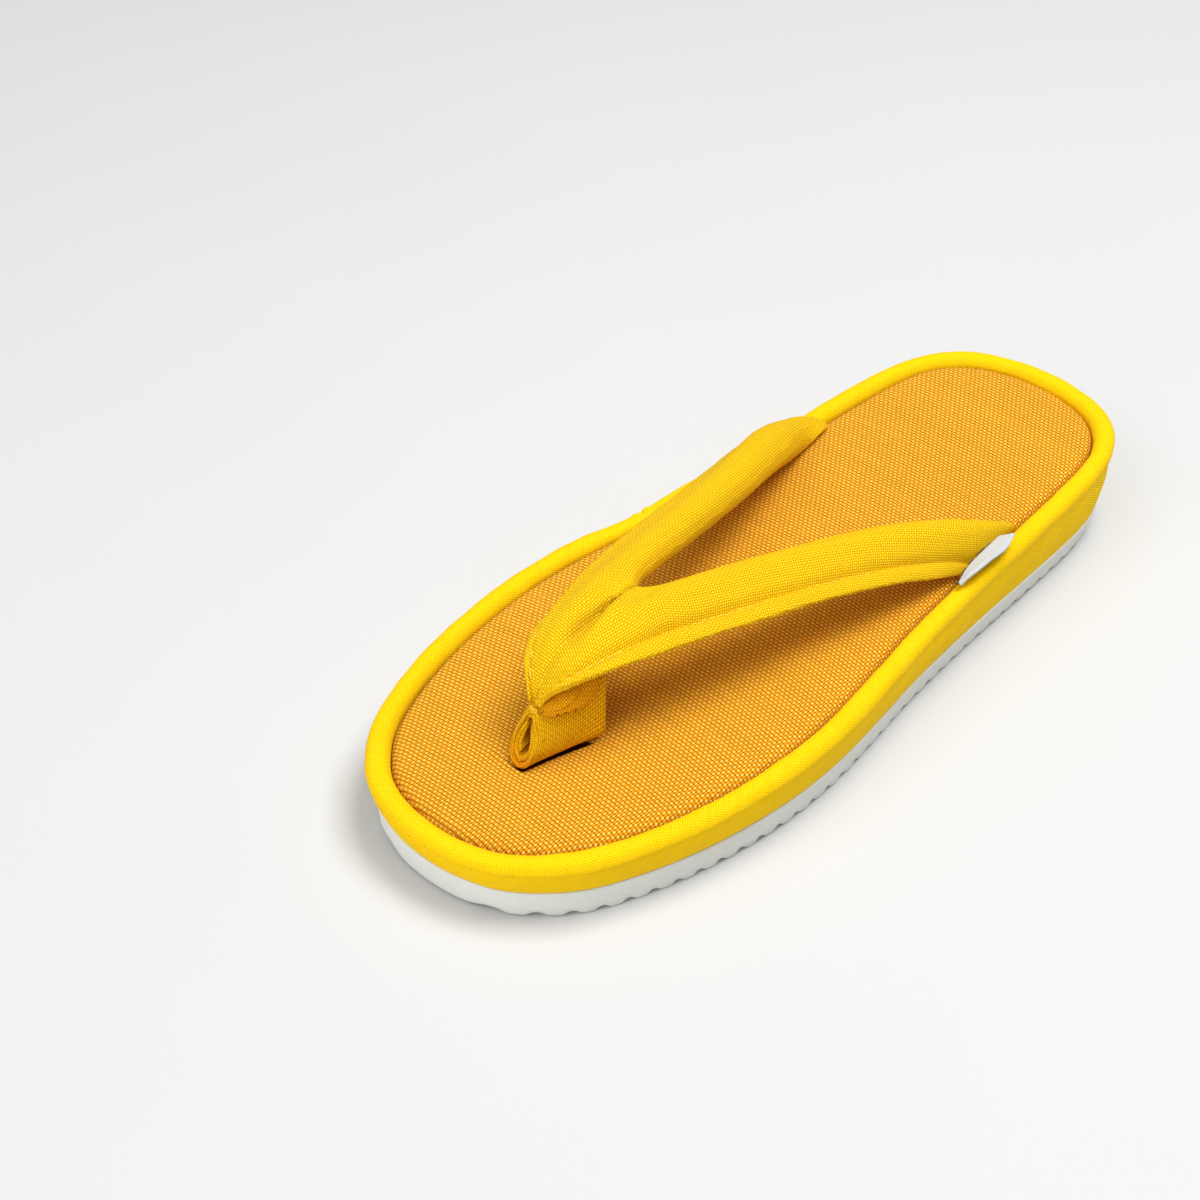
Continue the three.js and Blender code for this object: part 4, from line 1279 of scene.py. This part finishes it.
def stitches(arm, inner):
    skin = Skin()
    bow = 0.10 * (1 - np.linspace(-1, 1, 6) ** 2)
    for s in stitch_marks(arm):
        t = s + np.linspace(-0.5, 0.5, 6) * STITCH_LENGTH
        u = arm.direction(t[2:3], "up")[0]
        for side, lift in ((1, 0.22), (-1, -0.36)):
            path = arm.line(-0.03, lift, t) + arm.direction(t, "up") * (bow * side)[:, None]
            thread(skin, path, 0.17, up=u * side)
    # on the inner side only the first few show before the flange folds under
    for s in (6.5, 11.0, 15.6, 20.0):
        t = s + np.linspace(-0.5, 0.5, 7) * 2.5
        bow7 = 0.12 * (1 - np.linspace(-1, 1, 7) ** 2)
        u = inner.direction(t[3:4], "up")[0]
        path = inner.line(0.05, 0.84, t) + inner.direction(t, "up") * (bow7 + 0.10)[:, None]
        thread(skin, path * (-1, 1, 1), 0.19, up=u * (-1, 1, 1))
    me = skin.mesh("stitches")
    return put("strap_stitches", me, yellow_thread, None)


# ------------------------------------------------------------------ toe post
def ply(skin, near, far, t0, t1, steps=20, count=96, span=None, seed=41):
    """A ply of canvas round the post from shrink near to shrink far, between depths t0
    and t1. span keeps it to part of the way round, as shares of the loop."""
    thick = far - near
    t = np.linspace(t0, t1, steps)
    reach = thick * 0.5
    path = [(a, near, 0) for a in t]
    path += [(t1, near + thick * 0.15, reach * 0.7), (t1, near + thick * 0.5, reach), (t1, far - thick * 0.15, reach * 0.7)]
    path += [(a, far, 0) for a in t[::-1]]
    path += [(t0, far - thick * 0.15, -reach * 0.7), (t0, near + thick * 0.5, -reach), (t0, near + thick * 0.15, -reach * 0.7)]
    path.append(path[0])
    tt, dd, beyond = (np.array([q[k] for q in path], float) for k in range(3))
    loops = post_loop(tt, dd, count)
    loops[..., 1] += beyond[:, None]
    centre = loops.mean(1, keepdims=True)
    out = loops - centre
    out[..., 1] = 0
    out /= np.linalg.norm(out, axis=-1, keepdims=True).clip(1e-6)
    loops = loops + out * (0.14 * ripple(loops, 13, seed))[..., None]
    # the front edge isn't quite straight
    front = 1 - smooth(t0, t0 + 0.2, tt)
    loops[..., 1] += front[:, None] * 0.22 * ripple(loops[..., [0, 2]], 5.0, seed + 1)
    if span:
        first, last = int(round(span[0] * count)), int(round(span[1] * count))
        loops = loops[:, first: last + 1]
    girth = chords(loops[0])
    run = chords(np.stack([tt * 20.0 + beyond, dd], 1))
    g, l = np.broadcast_arrays(girth[None], run[:, None])
    uv = np.stack([1.5 * l + 0.12 * g, 1.5 * g - 0.12 * l], -1)
    ids = skin.add(loops[:-1])
    ids = np.concatenate([ids, ids[:1]], 0)
    if not span:
        ids = np.concatenate([ids, ids[:, :1]], 1)
        last_uv = uv[:, -1:] + (uv[:, -1:] - uv[:, -2:-1])
        uv = np.concatenate([uv, last_uv], 1)
    skin.quads(ids, uv)
    if span:
        for col, side in ((0, -1), (-1, 1)):
            ring = ids[:, col]
            hub = skin.add(loops[:-1, col].mean(0)[None])[0]
            skin.quads(np.stack([ring, np.full_like(ring, hub)]))


def toe_post():
    skin = Skin()
    ply(skin, 0.0, 1.0, 0.0, 1.0, seed=41)
    ply(skin, 1.10, 2.05, 0.014, 0.985, seed=51)
    ply(skin, 2.12, 3.0, 0.030, 0.96, span=(0.55, 0.94), seed=61)
    ply(skin, 2.15, 3.05, 0.42, 0.93, seed=65)
    me = skin.mesh("toe_post")
    return put("toe_post_loop", me, post_canvas, "toe_post")


FACE = {}


def face_point(t, f, proud=0.0):
    """A point on the outer face of the post: t deep, f of the way up, proud of it."""
    if not FACE:
        ts = np.linspace(0, 1, 61)
        loops = post_loop(ts, 0.0, 240)[:, :120]
        rows = post_row(ts)
        fs = np.linspace(0, 1, 81)
        table = []
        for loop, row in zip(loops, rows):
            rise = (loop[:, 2] - row[2]) / (row[3] - row[2])
            order = np.argsort(rise)
            table.append(np.stack([np.interp(fs, rise[order], loop[order, k]) for k in range(3)], 1))
        FACE["t"], FACE["f"], FACE["p"] = ts, fs, np.array(table)
    t, f, proud = (np.asarray(a, float).ravel() for a in np.broadcast_arrays(t, f, proud))
    ti = np.clip(t, 0, 1) * 60
    fi = np.clip(f, 0, 1) * 80
    i, j = np.minimum(ti.astype(int), 59), np.minimum(fi.astype(int), 79)
    a, b = (ti - i)[:, None], (fi - j)[:, None]
    g = FACE["p"]
    q = (g[i, j] * (1 - a) * (1 - b) + g[i + 1, j] * a * (1 - b) + g[i, j + 1] * (1 - a) * b + g[i + 1, j + 1] * a * b)
    over = np.maximum(f - 1, 0)[:, None] * (0, 0, 18)
    return q + np.array([0.985, -0.17, 0.0]) * proud[:, None] + over


def fold(skin, u0, u1, low_line, high, swell_max, seed):
    """A padded fold of cloth lying along the top of the post's outer face. low_line gives
    its lower edge as depth and height shares."""
    n_u, n_f = 46, 18
    us = np.linspace(u0, u1, n_u)
    rows = []
    for u in us:
        k = (u - u0) / (u1 - u0)
        body = max(0.0, math.sin(math.pi * k)) ** 0.55
        low = float(spline([q[0] for q in low_line], [q[1] for q in low_line], u))
        f = low + (high - low) * np.linspace(0, 1, n_f) ** 1.15
        j = np.linspace(0, 1, n_f)
        shape = np.sqrt(np.clip(1 - (1 - np.clip(j / 0.24, 0, 1)) ** 2, 0, 1)) * (1 - 0.35 * smooth(0.4, 1, j))
        proud = swell_max * body * shape + 0.04
        outer = face_point(np.full(n_f, u), f, proud)
        outer[:, 2] -= 0.35 * swell_max * body * np.exp(-j / 0.16)
        inner = face_point(np.full(n_f // 2, u), np.linspace(high, low + 0.02, n_f // 2), -0.3)
        rows.append(np.concatenate([outer, inner]))
    p = np.array(rows)
    p += 0.10 * ripple(p, 6.0, seed)[..., None] * np.array([1, 0, 0.3])
    ids = skin.add(p)
    closed = np.concatenate([ids, ids[:, :1]], 1)
    g = chords(np.concatenate([p[n_u // 2], p[n_u // 2][:1]]))[None]
    g, l = np.broadcast_arrays(g, (us * 20)[:, None])
    skin.quads(closed, np.stack([1.5 * l + 0.35 * g, 1.5 * g - 0.35 * l], -1))
    for end in (0, -1):
        hub = skin.add(p[end].mean(0)[None])[0]
        skin.quads(np.stack([closed[end], np.full(closed.shape[1], hub)]))


def gusset():
    skin = Skin()
    fold(skin, 0.01, 0.955, [(0.01, 0.985), (0.1, 0.90), (0.3, 0.80), (0.5, 0.72), (0.7, 0.69), (0.86, 0.74), (0.955, 0.97)],
         1.02, 2.9, 71)
    fold(skin, 0.04, 0.72, [(0.04, 0.995), (0.15, 0.95), (0.35, 0.90), (0.55, 0.89), (0.72, 0.98)], 1.03, 3.3, 72)
    me = skin.mesh("gusset")
    return put("post_gusset", me, fold_canvas, None)


def small_threads():
    yellow, brown = Skin(), Skin()
    # bar tack across the tip of the strap
    for dy, dz in ((0.0, -0.1), (-0.12, -0.42), (0.05, 0.22), (0.08, 0.52)):
        x = np.linspace(-1.4, 1.5, 8)
        path = np.stack([x + 0.7, -86.75 + dy + 0.16 * x * x, 32.5 + dz - 0.05 * x], 1)
        thread(yellow, path, 0.19, up=(0, -1, 0.4))
    # thread ends and needle holes along the fold's lower edge and on the face
    for t, f, length in ((0.22, 0.865, 0.022), (0.36, 0.80, 0.026), (0.50, 0.745, 0.018)):
        q = face_point(np.linspace(t - length, t + length, 6), np.full(6, f), 2.75)
        thread(brown, q, 0.16, up=(1, 0, 0))
    # a dark brown thread laid as a painted shadow line between the strap's edge and the fold under it
    q = face_point(np.linspace(0.015, 0.38, 30), np.linspace(0.975, 0.99, 30), np.linspace(0.7, 2.05, 30))
    thread(brown, q, 0.14, up=(1, 0, 0))
    for t, f in ((0.12, 0.47), (0.10, 0.22), (0.86, 0.30)):
        q = face_point(np.linspace(t - 0.012, t + 0.012, 5), np.full(5, f), 0.0)
        thread(brown, q, 0.13, up=(1, 0, 0))
    a = put("bar_tack", yellow.mesh("bar_tack"), tack_thread, None)
    b = put("post_threads_and_shadow_line", brown.mesh("post_threads_and_shadow_line"), brown_thread_and_shadow_line, None)
    return a, b


# ------------------------------------------------------------------ tab
def side_tab():
    count = 52
    table = np.array(TAB, float)
    rows = spline(np.linspace(0, 1, len(TAB)), table, np.linspace(0, 1, count))
    inner, outer = rows[:, :3], rows[:, 3:]
    across = outer - inner
    width = np.linalg.norm(across, axis=1)
    across = across / width[:, None]
    along = frames_along((inner + outer) / 2)
    up = np.cross(across, along)
    up /= np.linalg.norm(up, axis=1, keepdims=True)
    up *= np.sign(up[:, 2:3])
    half = 0.55
    # one turn of the section: over the top ply, round the fold and back under
    sec = [(0.0, 0.52), (0.06, 0.60), (0.2, 0.56), (0.26, 0.50), (0.33, 0.57), (0.55, 0.56), (0.62, 0.50), (0.69, 0.55),
           (0.85, 0.52), (0.95, 0.42), (1.0, 0.0), (0.95, -0.42), (0.8, -0.55), (0.4, -0.55), (0.0, -0.55), (-0.03, -0.3),
           (0.0, -0.12), (0.35, -0.10), (0.5, 0.0), (0.35, 0.12), (0.0, 0.14), (-0.03, 0.32)]
    s = chords((inner + outer) / 2)
    rings = []
    for i in range(count):
        u = np.array([q[0] for q in sec]) * width[i]
        v = np.array([q[1] for q in sec]) * half / 0.55
        flap = 0.25 * math.sin(s[i] / 4.1) + 0.10 * math.sin(s[i] / 1.7 + 1)
        curl = 0.5 * smooth(s[-1] - 4, s[-1], s[i]) - 0.3 * (1 - smooth(0, 4, s[i]))
        v = v + (flap + curl) * (u / width[i]) ** 2 + 0.25 * (u / width[i])
        rings.append(inner[i] + across[i] * u[:, None] + up[i] * v[:, None])
    p = np.array(rings)
    skin = Skin()
    ids = skin.add(p)
    closed = np.concatenate([ids, ids[:, :1]], 1)
    g = chords(np.concatenate([p[20], p[20][:1]]))[None]
    g, l = np.broadcast_arrays(g, s[:, None])
    skin.quads(closed, np.stack([g * 3.1, l * 3.1], -1))
    for end in (0, -1):
        skin.faces.append([int(i) for i in ids[end]])
        skin.cloth.extend([(0.0, 0.0)] * len(sec))
    me = skin.mesh("tab")
    ob = put("side_tape", me, tape, "side_tab")
    # the loose end of sewing thread below the tab
    bits = Skin()
    path = np.array([(37.6, 31.2, 25.6), (38.3, 30.2, 25.9), (39.2, 29.8, 26.3), (39.9, 30.1, 26.5), (40.4, 30.6, 26.6)])
    thread(bits, spline(chords(path), path, np.linspace(0, chords(path)[-1], 12)), 0.16)
    # sewing thread caught along the joint of strap and tab, dark grey, which also serves as a painted shadow line in
    # the gap between them
    for first, last in ((0.10, 0.26), (0.30, 0.42), (0.47, 0.66), (0.70, 0.80)):
        i = np.linspace(first, last, 9) * (count - 1)
        q = np.stack([np.interp(i, np.arange(count), (inner - across * 0.15 + up * 0.62)[:, k]) for k in range(3)], 1)
        thread(bits, q, 0.13)
    put("tab_thread_and_shadow_line", bits.mesh("tab_thread_and_shadow_line"), grey_thread_and_shadow_line, None)
    return ob


outsole()
midsole()
insole()
strap_ob, arm, inner = strap()
stitches(arm, inner)
toe_post()
gusset()
small_threads()
side_tab()
